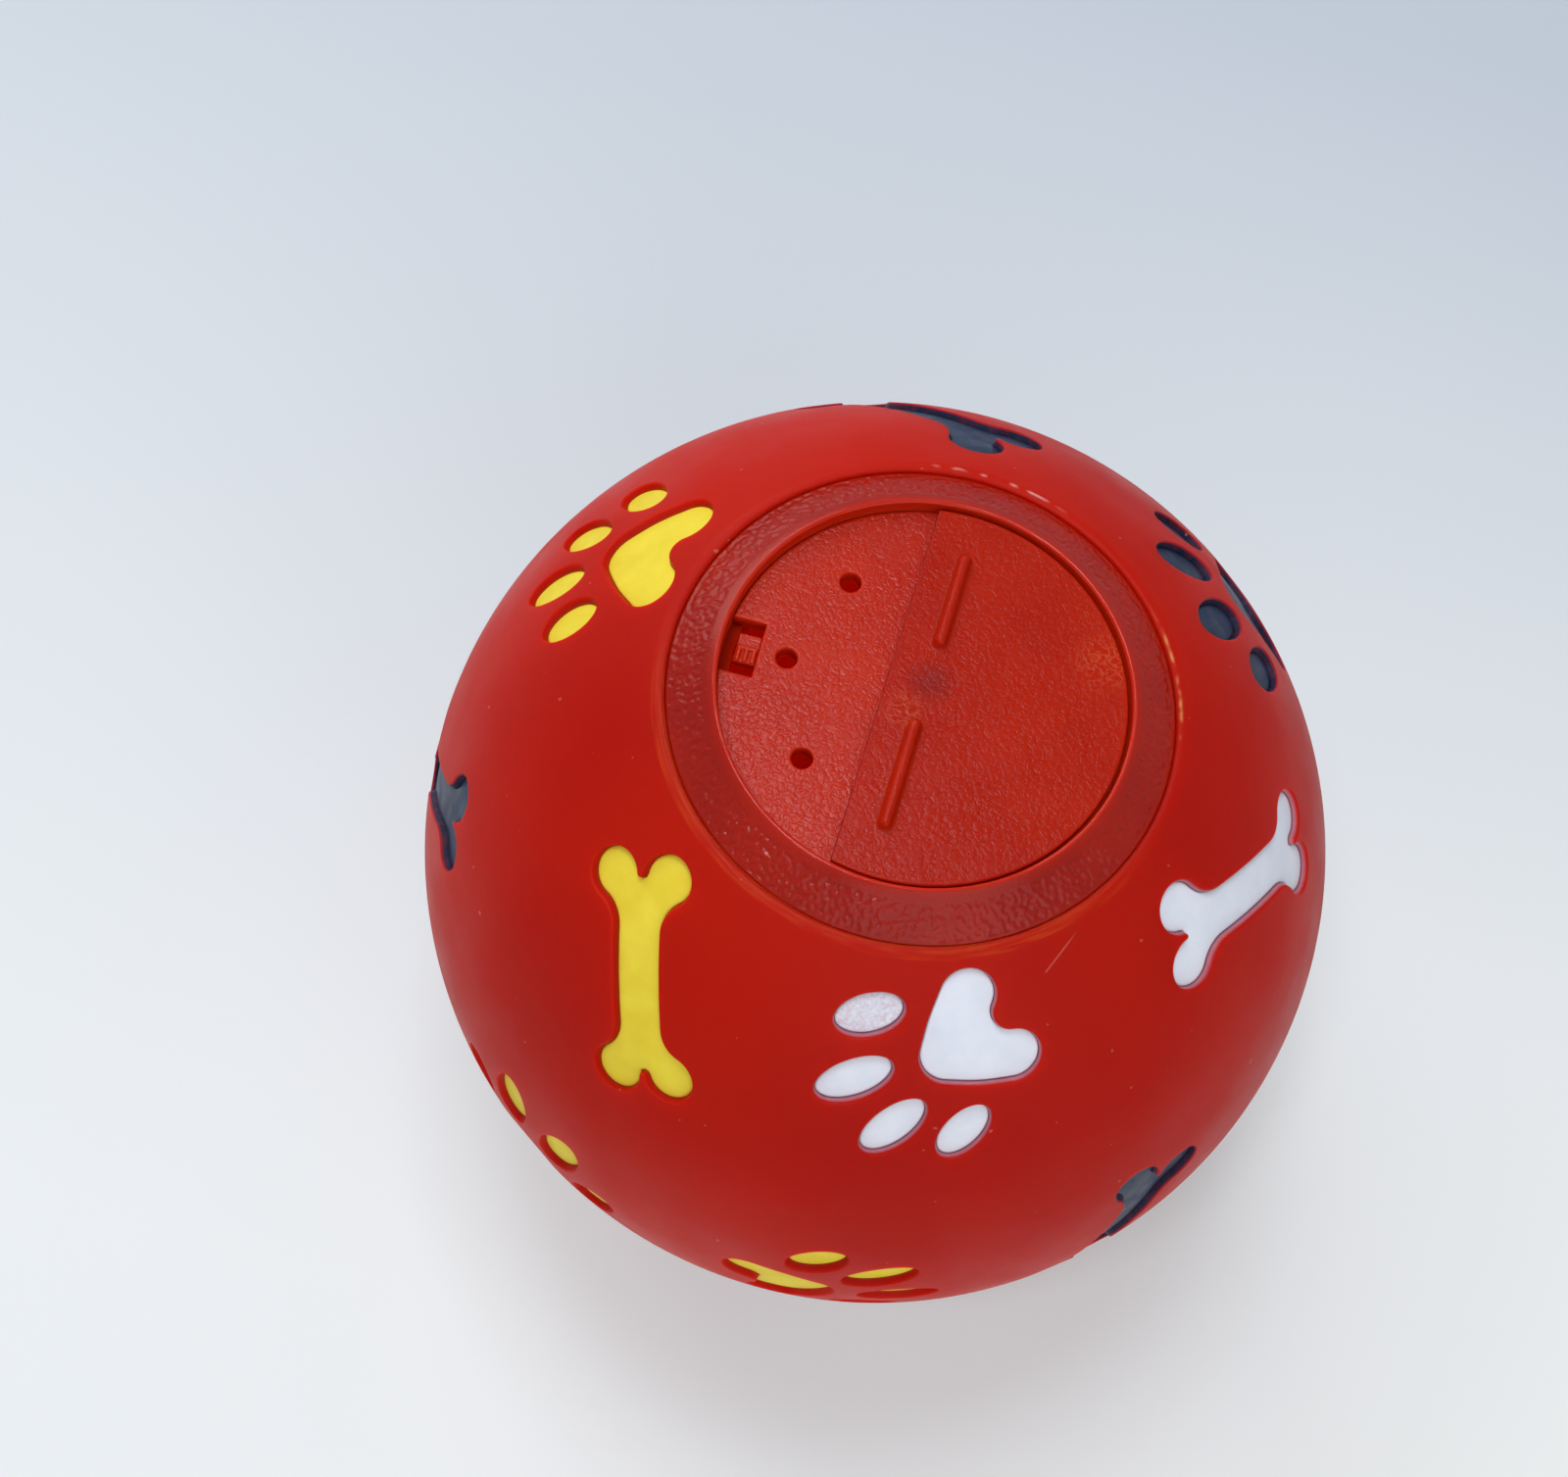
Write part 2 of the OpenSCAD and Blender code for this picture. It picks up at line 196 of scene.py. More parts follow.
# The collar's face is part of a sphere, whose centre lies on the axis
FACE_IN_Z = height_at(BALL_R, WELL_R) - COLLAR_DROP
FACE_OUT_Z = height_at(BALL_R, COLLAR_R) - COLLAR_EDGE_DROP
FACE_Z = (WELL_R ** 2 + FACE_IN_Z ** 2 - COLLAR_R ** 2 - FACE_OUT_Z ** 2) / (2 * (FACE_IN_Z - FACE_OUT_Z))
FACE_R = math.hypot(WELL_R, FACE_IN_Z - FACE_Z)
LEDGE_Z = FACE_OUT_Z - COLLAR_EDGE
BEAD_IN_R = NECK_R + COLLAR_GAP
BEAD_OUT_R = HOOK_R + COLLAR_GAP
BEAD_Z = height_at(CAVITY_R, BEAD_OUT_R)

# Each motif: node, latitude, longitude, turn and size
MOTIFS = [
    ("white_paw_top", 47.9, 289.1, 125, 1.0),
    ("white_bone_top", 42.8, 350, -32, 1.03),
    ("navy_paw_top", 35.6, 41.5, -3, 1.13),
    ("navy_bone_top", 39.4, 101.6, -46, 1.12),
    ("yellow_paw_top", 47.9, 162.4, 188.8, 1.07),
    ("yellow_bone_top", 42.2, 238.5, -52.5, 1.0),
    ("navy_bone_side", 15.2, 193.5, 48.2, 0.95),
    ("yellow_paw_side", -6, 236.3, -4, 1.17),
    ("yellow_paw_front", 2.2, 275.3, -67, 1.05),
    ("navy_bone_front", 6, 314.6, 68.3, 1.0),
    ("yellow_bone_side", 0, 357, 62, 1.0),
    ("white_paw_side", -9, 38, 12, 1.0),
    ("yellow_paw_back", 2, 80, 200, 1.1),
    ("white_bone_side", 0, 114, -60, 1.0),
    ("white_paw_back", -2, 152, 100, 1.0),
    ("navy_paw_low", -42, 5, 150, 1.0),
    ("white_bone_low", -40, 77, 20, 1.0),
    ("yellow_paw_low", -42, 149, -60, 1.1),
    ("navy_bone_low", -41, 218, -35, 1.0),
    ("white_paw_low", -41, 293, 60, 1.0),
]

# The paw's pad, its toes as reach, angle, splay and length, and the bone
PAD_FRONT_R = 3.2
PAD_LOBE_R = 2.9
PAD_LOBE_REACH = 6.6
PAD_LOBE_ANGLE = 40
PAD_NOTCH = 5.6
PAD_BULGE = 0.2
TOES = [(10.1, 20.5, 10, 8.5), (9.5, 65, 19, 7.3)]
TOE_W = 4.4
BONE_L = 21.5
BONE_PITCH = 6.3
BONE_LOBE_R = 2.7
BONE_SHAFT = 5.3
BONE_FILLET = 3.6
BONE_NOTCH = 0.1


def in_scene(name, data):
    """A new object in the scene."""
    made = bpy.data.objects.new(name, data)
    bpy.context.scene.collection.objects.link(made)
    return made


class Surface:
    """Points and faces of one piece, in millimetres, with a colour for each point that holds paint and also
    painted light and shade.
    """

    def __init__(self):
        self.points = []
        self.paints = []
        self.normals = []
        self.faces = []
        self.count = 0

    def add(self, points, paint=(0, 0, 0, 0), normals=None):
        """Adds points and returns their numbers. Shading follows normals where they are given."""
        points = np.asarray(points, float)
        numbers = np.arange(self.count, self.count + len(points))
        self.points.append(points)
        self.paints.append(np.broadcast_to(np.asarray(paint, float), (len(points), 4)))
        self.normals.append(np.zeros_like(points) if normals is None else normals)
        self.count += len(points)
        return numbers

    def ring(self, points, before, paint=(0, 0, 0, 0)):
        """Adds a closed ring, with faces to the ring before it, and returns its numbers."""
        here = self.add(points, paint)
        self.bridge(here, before)
        return here

    def bridge(self, upper, lower):
        """Faces between two closed rings of as many points."""
        corners = [upper, lower, np.roll(lower, -1), np.roll(upper, -1)]
        self.faces += [tuple(face) for face in np.column_stack(corners).tolist()]

    def close(self, ring):
        """One face over a ring of points."""
        self.faces.append(tuple(ring.tolist()))

    def cover(self, triangles, numbers, side, domed=False):
        """Triangles over points that are already here.

        They face up, or away from the ball's centre if domed, and the other way if side is -1."""
        corners = np.concatenate(self.points)[numbers[triangles]]
        normals = np.cross(corners[:, 1] - corners[:, 0], corners[:, 2] - corners[:, 0])
        facing = corners.mean(axis=1) if domed else np.array([0, 0, 1.0])
        flipped = side * (normals * facing).sum(axis=1) < 0
        triangles = np.where(flipped[:, None], triangles[:, ::-1], triangles)
        self.faces += [tuple(face) for face in numbers[triangles].tolist()]

    def turn(self, degrees):
        """Turns all points about the cap's axis."""
        tilt = np.array(Matrix.Rotation(math.radians(degrees), 3, "Z"))
        self.points = [points @ tilt.T for points in self.points]

    def piece(self, name, cad_node, body, slot, material):
        """Makes the piece that stands for a CAD node."""
        mesh = bpy.data.meshes.new(name)
        mesh.from_pydata((np.concatenate(self.points) * MM).tolist(), [], self.faces)
        mesh.validate()
        mesh.shade_smooth()
        paint = mesh.color_attributes.new("wall_paint_and_painted_light", "FLOAT_COLOR", "POINT")
        paint.data.foreach_set("color", np.concatenate(self.paints).astype(np.float32).ravel())
        normals = np.concatenate(self.normals)
        if normals.any():
            mesh.normals_split_custom_set_from_vertices(normals.tolist())
        mesh.materials.append(material)
        made = in_scene(name, mesh)
        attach(made, body)
        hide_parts(cad_node)


def inside(points, loop):
    """Which points lie inside a closed outline."""
    x, y = points[:, 0:1], points[:, 1:2]
    after = np.roll(loop, -1, axis=0)
    crosses = (loop[:, 1] > y) != (after[:, 1] > y)
    rise = after[:, 1] - loop[:, 1]
    rise = np.where(rise == 0, 1, rise)
    at = loop[:, 0] + (y - loop[:, 1]) * (after[:, 0] - loop[:, 0]) / rise
    return (crosses & (x < at)).sum(axis=1) % 2 == 1


def clear_of(points, loops, gap):
    """Which points are at least a gap away from every point of the loops."""
    tree = kdtree.KDTree(sum(len(loop) for loop in loops))
    for i, p in enumerate(np.concatenate(loops)):
        tree.insert(Vector((*p, 0)[:3]), i)
    tree.balance()
    return np.array([tree.find(Vector((*p, 0)[:3]))[2] > gap for p in points], bool)


# Points of an outline that lie closer than this are one
MERGE_GAP = 1e-7


def triangulate(loops, interior):
    """Triangles between an outline, its holes and loose points, all flat, as point numbers in that order."""
    points = np.concatenate([*loops, interior])
    owner = [np.full(len(loop), i) for i, loop in enumerate(loops)]
    owner = np.concatenate([*owner, np.full(len(interior), -1)])
    edges = []
    start = 0
    for loop in loops:
        edges += [(start + i, start + (i + 1) % len(loop)) for i in range(len(loop))]
        start += len(loop)
    made = geometry.delaunay_2d_cdt([Vector(p) for p in points], edges, [], 0, MERGE_GAP, True)
    origin = np.array([ids[0] for ids in made[3]])
    triangles = origin[np.array(made[2])]
    owners = owner[triangles]
    alone = (owners[:, 0] >= 0) & (owners == owners[:, :1]).all(axis=1)
    keep = np.ones(len(triangles), bool)
    middles = points[triangles].mean(axis=1)
    for i, loop in enumerate(loops):
        mine = np.flatnonzero(alone & (owners[:, 0] == i))
        if len(mine):
            keep[mine] = inside(middles[mine], loop) == (i == 0)
    return triangles[keep]


def hex_points(loops, pitch, gap):
    """Evenly spread points inside an outline and outside its holes, which follow it."""
    outer, *holes = loops
    low, high = outer.min(axis=0), outer.max(axis=0)
    rows = []
    for i, y in enumerate(np.arange(low[1], high[1], pitch * math.sqrt(3) / 2)):
        x = np.arange(low[0] + (i % 2) * pitch / 2, high[0], pitch)
        rows.append(np.column_stack([x, np.full(len(x), y)]))
    grid = np.concatenate(rows)
    keep = inside(grid, outer)
    for hole in holes:
        keep &= ~inside(grid, hole)
    grid = grid[keep]
    return grid[clear_of(grid, loops, gap)]


def unit(vectors):
    """The same directions, of length one."""
    return vectors / np.linalg.norm(vectors, axis=1, keepdims=True)


def direction(degrees):
    radians = np.radians(degrees)
    return np.stack([np.cos(radians), np.sin(radians)], axis=-1)


def arc_ring(arcs, inset, bulge=0.0):
    """A closed outline of arcs of (centre, radius, side, from, to), drawn in by inset.

    A hollow arc has side -1. Straight stretches between arcs bulge a little."""
    def end_of(item, angle, drawn_in):
        centre, r, side = item[:3]
        return np.array(centre) + (r - side * drawn_in) * direction(angle)

    points = []
    for item, after in zip(arcs, arcs[1:] + arcs[:1]):
        centre, r, side, start, end = item
        steps = max(ARC_STEPS, math.ceil(abs(math.radians(end - start)) * r / OUTLINE_PITCH))
        angles = np.linspace(start, end, steps, endpoint=False)
        points.append(np.array(centre) + (r - side * inset) * direction(angles))
        run = np.linalg.norm(end_of(after, after[3], 0) - end_of(item, end, 0))
        steps = math.ceil(run / OUTLINE_PITCH)
        if run > OUTLINE_PITCH:
            share = np.linspace(0, 1, steps, endpoint=False)[:, None]
            here, there = end_of(item, end, inset), end_of(after, after[3], inset)
            points.append(here + (there - here) * share + bulge * np.sin(np.pi * share) * direction(end))
    return np.concatenate(points)


def pad_arcs():
    """A paw's pad: its blunt front, its two rear lobes and the notch between them."""
    lobe_x = PAD_LOBE_REACH * math.sin(math.radians(PAD_LOBE_ANGLE))
    lobe_y = -PAD_LOBE_REACH * math.cos(math.radians(PAD_LOBE_ANGLE))
    step = PAD_NOTCH + lobe_y
    notch_r = (lobe_x ** 2 + step ** 2 - PAD_LOBE_R ** 2) / (2 * (PAD_LOBE_R - step))
    notch_y = -PAD_NOTCH - notch_r
    side = PAD_LOBE_ANGLE - math.degrees(math.asin((PAD_FRONT_R - PAD_LOBE_R) / PAD_LOBE_REACH))
    dip = math.degrees(math.atan2(lobe_y - notch_y, lobe_x))
    return [
        ((0, 0), PAD_FRONT_R, 1, side, 180 - side),
        ((-lobe_x, lobe_y), PAD_LOBE_R, 1, 180 - side, 360 - dip),
        ((0, notch_y), notch_r, -1, 180 - dip, dip),
        ((lobe_x, lobe_y), PAD_LOBE_R, 1, 180 + dip, 360 + side),
    ]


def bone_arcs():
    """A bone: one half's lobes, fillets and end notch, and the same half turned about."""
    x, y = BONE_L / 2, BONE_PITCH / 2
    fillet_y = BONE_SHAFT / 2 + BONE_FILLET
    fillet_x = x - height_at(BONE_LOBE_R + BONE_FILLET, fillet_y - y)
    notch_r = (y ** 2 + BONE_NOTCH ** 2 - BONE_LOBE_R ** 2) / (2 * (BONE_LOBE_R + BONE_NOTCH))
    notch_x = x - BONE_NOTCH + notch_r
    lean = math.degrees(math.atan2(fillet_y - y, x - fillet_x))
    dip = math.degrees(math.atan2(y, notch_x - x))
    half = [
        ((x, y), BONE_LOBE_R, 1, -dip, 180 - lean),
        ((fillet_x, fillet_y), BONE_FILLET, -1, -lean, -90),
        ((-fillet_x, fillet_y), BONE_FILLET, -1, -90, lean - 180),
        ((-x, y), BONE_LOBE_R, 1, lean, 180 + dip),
        ((-notch_x, 0), notch_r, -1, dip, -dip),
    ]
    turned = [((-c[0], -c[1]), r, s, a + 180, b + 180) for c, r, s, a, b in half]
    return half + turned


def toe_ring(reach, angle, splay, length, inset):
    """An oval toe, out along its own direction from the pad's front."""
    steps = math.ceil(math.pi * (TOE_W + length) / 2 / OUTLINE_PITCH)
    turns = np.linspace(0, 2 * math.pi, steps, endpoint=False)
    oval = np.column_stack([(TOE_W / 2 - inset) * np.cos(turns), (length / 2 - inset) * np.sin(turns)])
    tilt = np.array(Matrix.Rotation(math.radians(-splay), 2))
    return oval @ tilt.T + reach * direction(90 - angle)


PAD = pad_arcs()
BONE = bone_arcs()


def motif_rings(cad_node, size, inset):
    """The closed outlines of a motif, drawn in by inset."""
    inset = inset / size
    if "bone" in cad_node:
        return [arc_ring(BONE, inset) * size]
    rings = [arc_ring(PAD, inset, PAD_BULGE)]
    for side in (-1, 1):
        for reach, angle, splay, length in TOES:
            rings.append(toe_ring(reach, side * angle, side * splay, length, inset))
    return [ring * size for ring in rings]


def placed(motif):
    """A motif's node, its size and the matrix that turns it from the axis into its place."""
    cad_node, latitude, longitude, turn, size = motif
    matrix = (
        Matrix.Rotation(math.radians(longitude), 3, "Z")
        @ Matrix.Rotation(math.radians(90 - latitude), 3, "Y")
        @ Matrix.Rotation(math.radians(90 + turn), 3, "Z")
    )
    return cad_node, size, np.array(matrix)


def on_sphere(flat, sphere_r, matrix):
    """Flat points of a motif, stood up along the motif's own axis onto a sphere."""
    lift = np.sqrt(sphere_r ** 2 - (flat ** 2).sum(axis=1))
    return np.column_stack([flat, lift]) @ matrix.T


def ring_points(r, z, steps):
    """A level ring round the axis."""
    turns = np.linspace(0, 360, steps, endpoint=False)
    return np.column_stack([r * direction(turns), np.full(steps, z)])


def rough(points, pitch, seed):
    """Smooth noise from -1 to 1 at each point."""
    return np.array([noise.noise(Vector(p) / pitch + Vector((seed, 0, 0))) for p in points])


def patchy(points, pitch, mean, swing, seed):
    """Noise that swings about its mean, kept between nought and one."""
    return np.clip(mean + swing * rough(points, pitch, seed), 0, 1)


def stereographic(points):
    """The ball's surface laid flat from the middle of its mouth."""
    points = unit(points)
    return points[:, :2] / (1 - points[:, 2:3])


def lattice():
    """Points spread evenly over the ball."""
    count = int(4 * math.pi * BALL_R ** 2 / (BALL_PITCH ** 2 * math.sqrt(3) / 2))
    i = np.arange(count) + 0.5
    z = 1 - 2 * i / count
    turn = i * math.pi * (3 - math.sqrt(5))
    flat = np.sqrt(1 - z * z)
    return BALL_R * np.column_stack([flat * np.cos(turn), flat * np.sin(turn), z])


def recess_profile():
    """Inset and depth of each ring from a motif's rounded edge down to its floor."""
    corners = np.radians(np.linspace(0, 90, ROUND_STEPS))
    edge = [
        (-WALL_SPREAD - EDGE_ROUND * (1 - math.sin(a)), EDGE_ROUND * (1 - math.cos(a)))
        for a in corners[1:]
    ]
    foot = RECESS - FLOOR_ROUND
    shares = np.linspace(0, 1, WALL_RINGS + 1)[1:]
    lean = WALL_DRAFT + WALL_SPREAD
    wall = [(lean * share - WALL_SPREAD, EDGE_ROUND + (foot - EDGE_ROUND) * share) for share in shares]
    floor = [
        (WALL_DRAFT + FLOOR_ROUND * (1 - math.cos(a)), foot + FLOOR_ROUND * math.sin(a))
        for a in corners[2::2]
    ]
    return edge + wall + floor


# Paint on the motifs' walls: its tint, how well it covers, and how far it climbs from the floor
WALL_PAINT_AND_SHADE = {
    # The white's purple-pink tint is partly thin paint and partly painted shade on the lower walls
    "white": ((0.62, 0.30, 0.38), 0.75, 0.8),
    "yellow": ((0.60, 0.33, 0.03), 0.5, 0.3),
    "navy": ((0.006, 0.018, 0.052), 1.0, 1.05),
}
WALL_PAINT_FADE = 0.35
# Painted shade along a wall's foot: how high it reaches and how dark it makes the paint
FOOT_SHADE_H = 0.22
FOOT_PAINTED_SHADE = 0.45


def colour_of(cad_node):
    return cad_node.split("_")[0]


def cover_motif(form, outline, numbers, pitch, sphere_r, matrix, side=1, paint=(0, 0, 0, 0)):
    """Faces over one outline of a motif, with loose points inside it, on a sphere."""
    loose = hex_points([outline], pitch, pitch / 2)
    extra = form.add(on_sphere(loose, sphere_r, matrix), paint)
    form.cover(triangulate([outline], loose), np.concatenate([numbers, extra]), side, domed=True)


def sink_motif(form, above, motif):
    """The walls and floor of one motif, from its outer rings down."""
    cad_node, size, matrix = placed(motif)
    tint, strength, climb = WALL_PAINT_AND_SHADE[colour_of(cad_node)]
    for inset, depth in recess_profile():
        flat = motif_rings(cad_node, size, inset)
        # Painted shade: near the floor the wall's tint is darkened
        shade = FOOT_PAINTED_SHADE if RECESS - depth < FOOT_SHADE_H else 1.0
        cover = strength * np.clip((climb - (RECESS - depth)) / WALL_PAINT_FADE, 0, 1)
        paint = (*(shade * part for part in tint), cover)
        here = [form.add(on_sphere(ring, BALL_R - depth, matrix), paint) for ring in flat]
        for upper, lower in zip(above, here):
            form.bridge(lower, upper)
        above = here
    for numbers, ring in zip(above, flat):
        cover_motif(form, ring, numbers, BALL_PITCH, FLOOR_R, matrix, paint=paint)


def lip_profile():
    """Each ring across the lip: distance from the axis, ridge over it, and drop below the ball's surface."""
    touch_r = COLLAR_R + LIP_TOUCH
    wall = height_at(BALL_R, touch_r) - FACE_OUT_Z
    rings = []
    for i, a in enumerate(np.radians(np.linspace(0, 90, LIP_RINGS + 1))[1:]):
        ridge = LIP_RIDGE * math.cos(a) * (i % 2)
        rings.append((LIP_OUT_R - (LIP_OUT_R - touch_r) * math.sin(a), ridge, wall * (1 - math.cos(a))))
    return rings + [(touch_r, 0.0, wall + 2 * COLLAR_ROUND)]


# Where the lip was trimmed roughly: from and to, in degrees, and the place and tint of the painted glints on
# its edge
ROUGH_TRIM = [(68, 104, 27.9, (0.86, 0.62, 0.55)), (4, 40, 27.5, (0.80, 0.40, 0.12))]
TRIM_PITCH = 0.55
TRIM_DEPTH = 0.07
TRIM_LEAST = 0.08
TRIM_FADE = 0.5
# The painted glints: how well they cover, their width, and their length, mean and swing
TRIM_GLINT_COVER = 0.9
TRIM_GLINT_W = 0.14
TRIM_GLINTS = (1.1, 0.1, 2.2)
# The lip's fine ridges and its painted glow: where they are strongest, how far they reach to each side,
# the glow's tint, how well it covers, its pitch, mean and swing along the mouth, and its change from ring to
# ring
STREAK_TURN = 258
STREAK_REACH = 85
STREAK_FADE = 35
LIP_GLOW_TINT = (0.60, 0.075, 0.008)
LIP_GLOW_COVER = 0.5
LIP_GLOW_PATCHES = (4.0, 0.35, 1.6)
LIP_GLOW_STEP = 9


def turns_of(points):
    """Angle of each point round the cap's axis, in degrees."""
    return np.degrees(np.arctan2(points[:, 1], points[:, 0])) % 360


def lip_ridges_and_glow(points):
    """How strong the lip's ridges and its painted glow are at each point, from nought to one."""
    return np.clip((STREAK_REACH - np.abs(turns_of(points) - STREAK_TURN)) / STREAK_FADE, 0, 1)


def lip_glow_and_glint_paint(points, r):
    """Tint of the lip's painted glow, which runs round the mouth and comes and goes, and of painted glints
    where it was trimmed.
    """
    cover = LIP_GLOW_COVER * lip_ridges_and_glow(points) * patchy(points, *LIP_GLOW_PATCHES, LIP_GLOW_SEED + LIP_GLOW_STEP * r)
    tint = np.tile(LIP_GLOW_TINT, (len(points), 1))
    # Painted glints: pale marks along the roughly trimmed edge
    for start, end, glint_r, glint_tint in ROUGH_TRIM:
        near = math.exp(-((r - glint_r) / TRIM_GLINT_W) ** 2)
        marks = patchy(points, *TRIM_GLINTS, GLINT_SEED) * trimmed(points, start, end)
        tint = np.where(marks[:, None] > 0, glint_tint, tint)
        cover = np.maximum(cover, TRIM_GLINT_COVER * near * marks)
    return np.column_stack([tint, cover])


def trimmed(points, start, end):
    """How roughly the lip was trimmed at each point between two angles, from nought to one."""
    middle, half = (start + end) / 2, (end - start) / 2
    return np.clip(1 - ((turns_of(points) - middle) / half) ** 2, 0, 1)


def trim_lip(points):
    """The lip's small unevenness, stronger where it was trimmed roughly."""
    share = np.full(len(points), TRIM_LEAST)
    for zone in ROUGH_TRIM:
        share = np.maximum(share, trimmed(points, *zone[:2]))
    fade = np.clip((LIP_OUT_R - np.hypot(points[:, 0], points[:, 1])) / TRIM_FADE, 0, 1)
    lift = TRIM_DEPTH * share * fade * rough(points, TRIM_PITCH, TRIM_SEED)
    return points + lift[:, None] * [0, 0, 1]


def shell_skin(form):
    """The ball's outside. Returns the numbers of the mouth's ring and of each motif's outer rings."""
    mouth = ring_points(LIP_OUT_R, height_at(BALL_R, LIP_OUT_R), MOUTH_STEPS)
    loops = [mouth]
    owners = []
    points = lattice()
    points = points[points[:, 2] < height_at(BALL_R, LIP_OUT_R + BALL_PITCH)]
    for motif in MOTIFS:
        cad_node, size, matrix = placed(motif)
        rings = motif_rings(cad_node, size, -(EDGE_ROUND + WALL_SPREAD))
        owners.append(range(len(loops), len(loops) + len(rings)))
        loops += [on_sphere(ring, BALL_R, matrix) for ring in rings]
        local = points @ matrix
        near = (local[:, 2] > 0) & (np.hypot(local[:, 0], local[:, 1]) < BALL_R / 2)
        inner = np.zeros(len(points), bool)
        for ring in rings:
            inner[near] |= inside(local[near][:, :2], ring)
        points = points[~inner]
    points = points[clear_of(points, loops, BALL_PITCH * SKIN_GAP)]
    skin = np.concatenate([*loops, points])
    numbers = form.add(skin, (*LIP_GLOW_TINT, 0), skin / BALL_R)
    flats = [stereographic(loop) for loop in loops]
    form.cover(triangulate(flats, stereographic(points)), numbers, 1, domed=True)
    starts = np.cumsum([0] + [len(loop) for loop in loops])
    ring_numbers = [numbers[a:b] for a, b in zip(starts, starts[1:])]
    return ring_numbers[0], [[ring_numbers[i] for i in owned] for owned in owners]


def make_shell(material):
    """The hollow ball, from its outside over the lip and the bead into the hollow."""
    form = Surface()
    above, motif_numbers = shell_skin(form)
    for motif, numbers in zip(MOTIFS, motif_numbers):
        sink_motif(form, numbers, motif)
    for r, ridge, drop in lip_profile():
        points = ring_points(r, height_at(BALL_R, r) - drop, MOUTH_STEPS)
        points[:, 2] += ridge * lip_ridges_and_glow(points)
        # The lip's rings carry its painted glow and painted glints
        above = form.ring(trim_lip(points), above, lip_glow_and_glint_paint(points, r))
    hidden = [(MOUTH_R, LEDGE_Z), (BEAD_IN_R, LEDGE_Z), (BEAD_IN_R, BEAD_Z), (BEAD_OUT_R, BEAD_Z)]
    for angle in np.linspace(math.atan2(BEAD_OUT_R, BEAD_Z), math.pi, CAVITY_RINGS)[1:-1]:
        hidden.append((CAVITY_R * math.sin(angle), CAVITY_R * math.cos(angle)))
    for r, z in hidden:
        above = form.ring(ring_points(r, z, MOUTH_STEPS), above)
    form.close(above)
    form.piece("soft_shell", "ball_shell", "ball", "ball_vinyl", material)


def make_paint(motif, seed, material):
    """The coat of paint on one motif's floor, with a slightly wandering edge."""
    cad_node, size, matrix = placed(motif)
    form = Surface()
    insets, rises = zip(*PAINT_EDGE)
    for outlines in zip(*(motif_rings(cad_node, size, WALL_DRAFT + inset) for inset in insets)):
        flats = []
        rings = []
        for flat, rise in zip(outlines, rises):
            wander = PAINT_WANDER * rough(at_height(flat, seed), PAINT_WANDER_PITCH, PAINT_SEED)
            flats.append(flat - unit(flat - flat.mean(axis=0)) * np.abs(wander)[:, None])
            rings.append(form.add(on_sphere(flats[-1], FLOOR_R + rise, matrix)))
        for here, above in zip(rings[1:], rings):
            form.bridge(here, above)
        cover_motif(form, flats[-1], rings[-1], PAINT_PITCH, FLOOR_R + rises[-1], matrix)
        cover_motif(form, flats[0], rings[0], BALL_PITCH, FLOOR_R + rises[0], matrix, -1)
    form.piece(cad_node + "_coat", cad_node, "ball", "paint_" + colour_of(cad_node), material)


def worms(points, seed):
    """How deep the moulded grain's worm-like grooves are at each point, from nought to one."""
    depths = np.empty(len(points))
    for i, p in enumerate(points):
        at = Vector(p) / WORM_PITCH + Vector((seed, seed, 0))
        line = abs(noise.noise(at) + WORM_WOBBLE * noise.noise(at * WORM_FINE))
        depths[i] = max(0.0, 1 - line / WORM_WIDTH) ** WORM_STEEP
    return depths


def face_height(r):
    """Height of the collar's face at distance r from the axis."""
    return FACE_Z + height_at(FACE_R, r)


def make_collar(material):
    """The ring round the cap: a domed, grained face between the ball's lip and a smooth inner rim."""
    form = Surface()
    low, hook_z = COLLAR_LOW_Z, BEAD_Z - COLLAR_GAP
    edge_r = COLLAR_R - COLLAR_ROUND
    edge_z = face_height(edge_r)
    band_r = WELL_R + RIM_BAND
    bevel = COLLAR_ROUND * BEVEL_MID
    smooth = [
        (WELL_R - SHOULDER_W, low), (NECK_R, low), (HOOK_R, hook_z), (NECK_R, hook_z), (NECK_R, LEDGE_Z),
        (COLLAR_R, LEDGE_Z), (COLLAR_R, edge_z - COLLAR_ROUND), (COLLAR_R - bevel, edge_z - bevel),
    ]
    rows = max(2, math.ceil((edge_r - band_r) / GRAIN_PITCH))
    grained = [(r, face_height(r)) for r in np.linspace(edge_r, band_r, rows)]
    centre_r = WELL_R + RIM_ROUND
    centre_z = FACE_Z + height_at(FACE_R - RIM_ROUND, centre_r)
    start = math.atan2(centre_z - FACE_Z, centre_r)
    rim = [
        (centre_r + RIM_ROUND * math.cos(a), centre_z + RIM_ROUND * math.sin(a))
        for a in np.linspace(start, math.pi, RIM_STEPS)
    ]
    rim += [(WELL_R, PLATE_Z), (WELL_R - SHOULDER_W, PLATE_Z)]
    rings = []
    for i, (r, z) in enumerate(smooth + grained + rim):
        points = ring_points(r, z, COLLAR_STEPS)
        row = i - len(smooth)
        if PEBBLE_MARGIN <= row < rows - PEBBLE_MARGIN:
            depths = PEBBLE_DEPTH * patchy(points, *PEBBLES, PEBBLE_SEED)
            points = points - (points - [0, 0, FACE_Z]) / FACE_R * depths[:, None]
        # The rim's share, where it is smooth and painted lighter as painted light
        smoothed = np.clip((row - rows + 1) / RIM_FADE_ROWS, 0, 1)
        rings.append(form.add(points, (*RIM_LIT_RED[:3], smoothed)))
    for here, above in zip(rings[1:] + rings[:1], rings):
        form.bridge(here, above)
    form.piece("cap_collar", "collar", "ball", "cap_plastic", material)


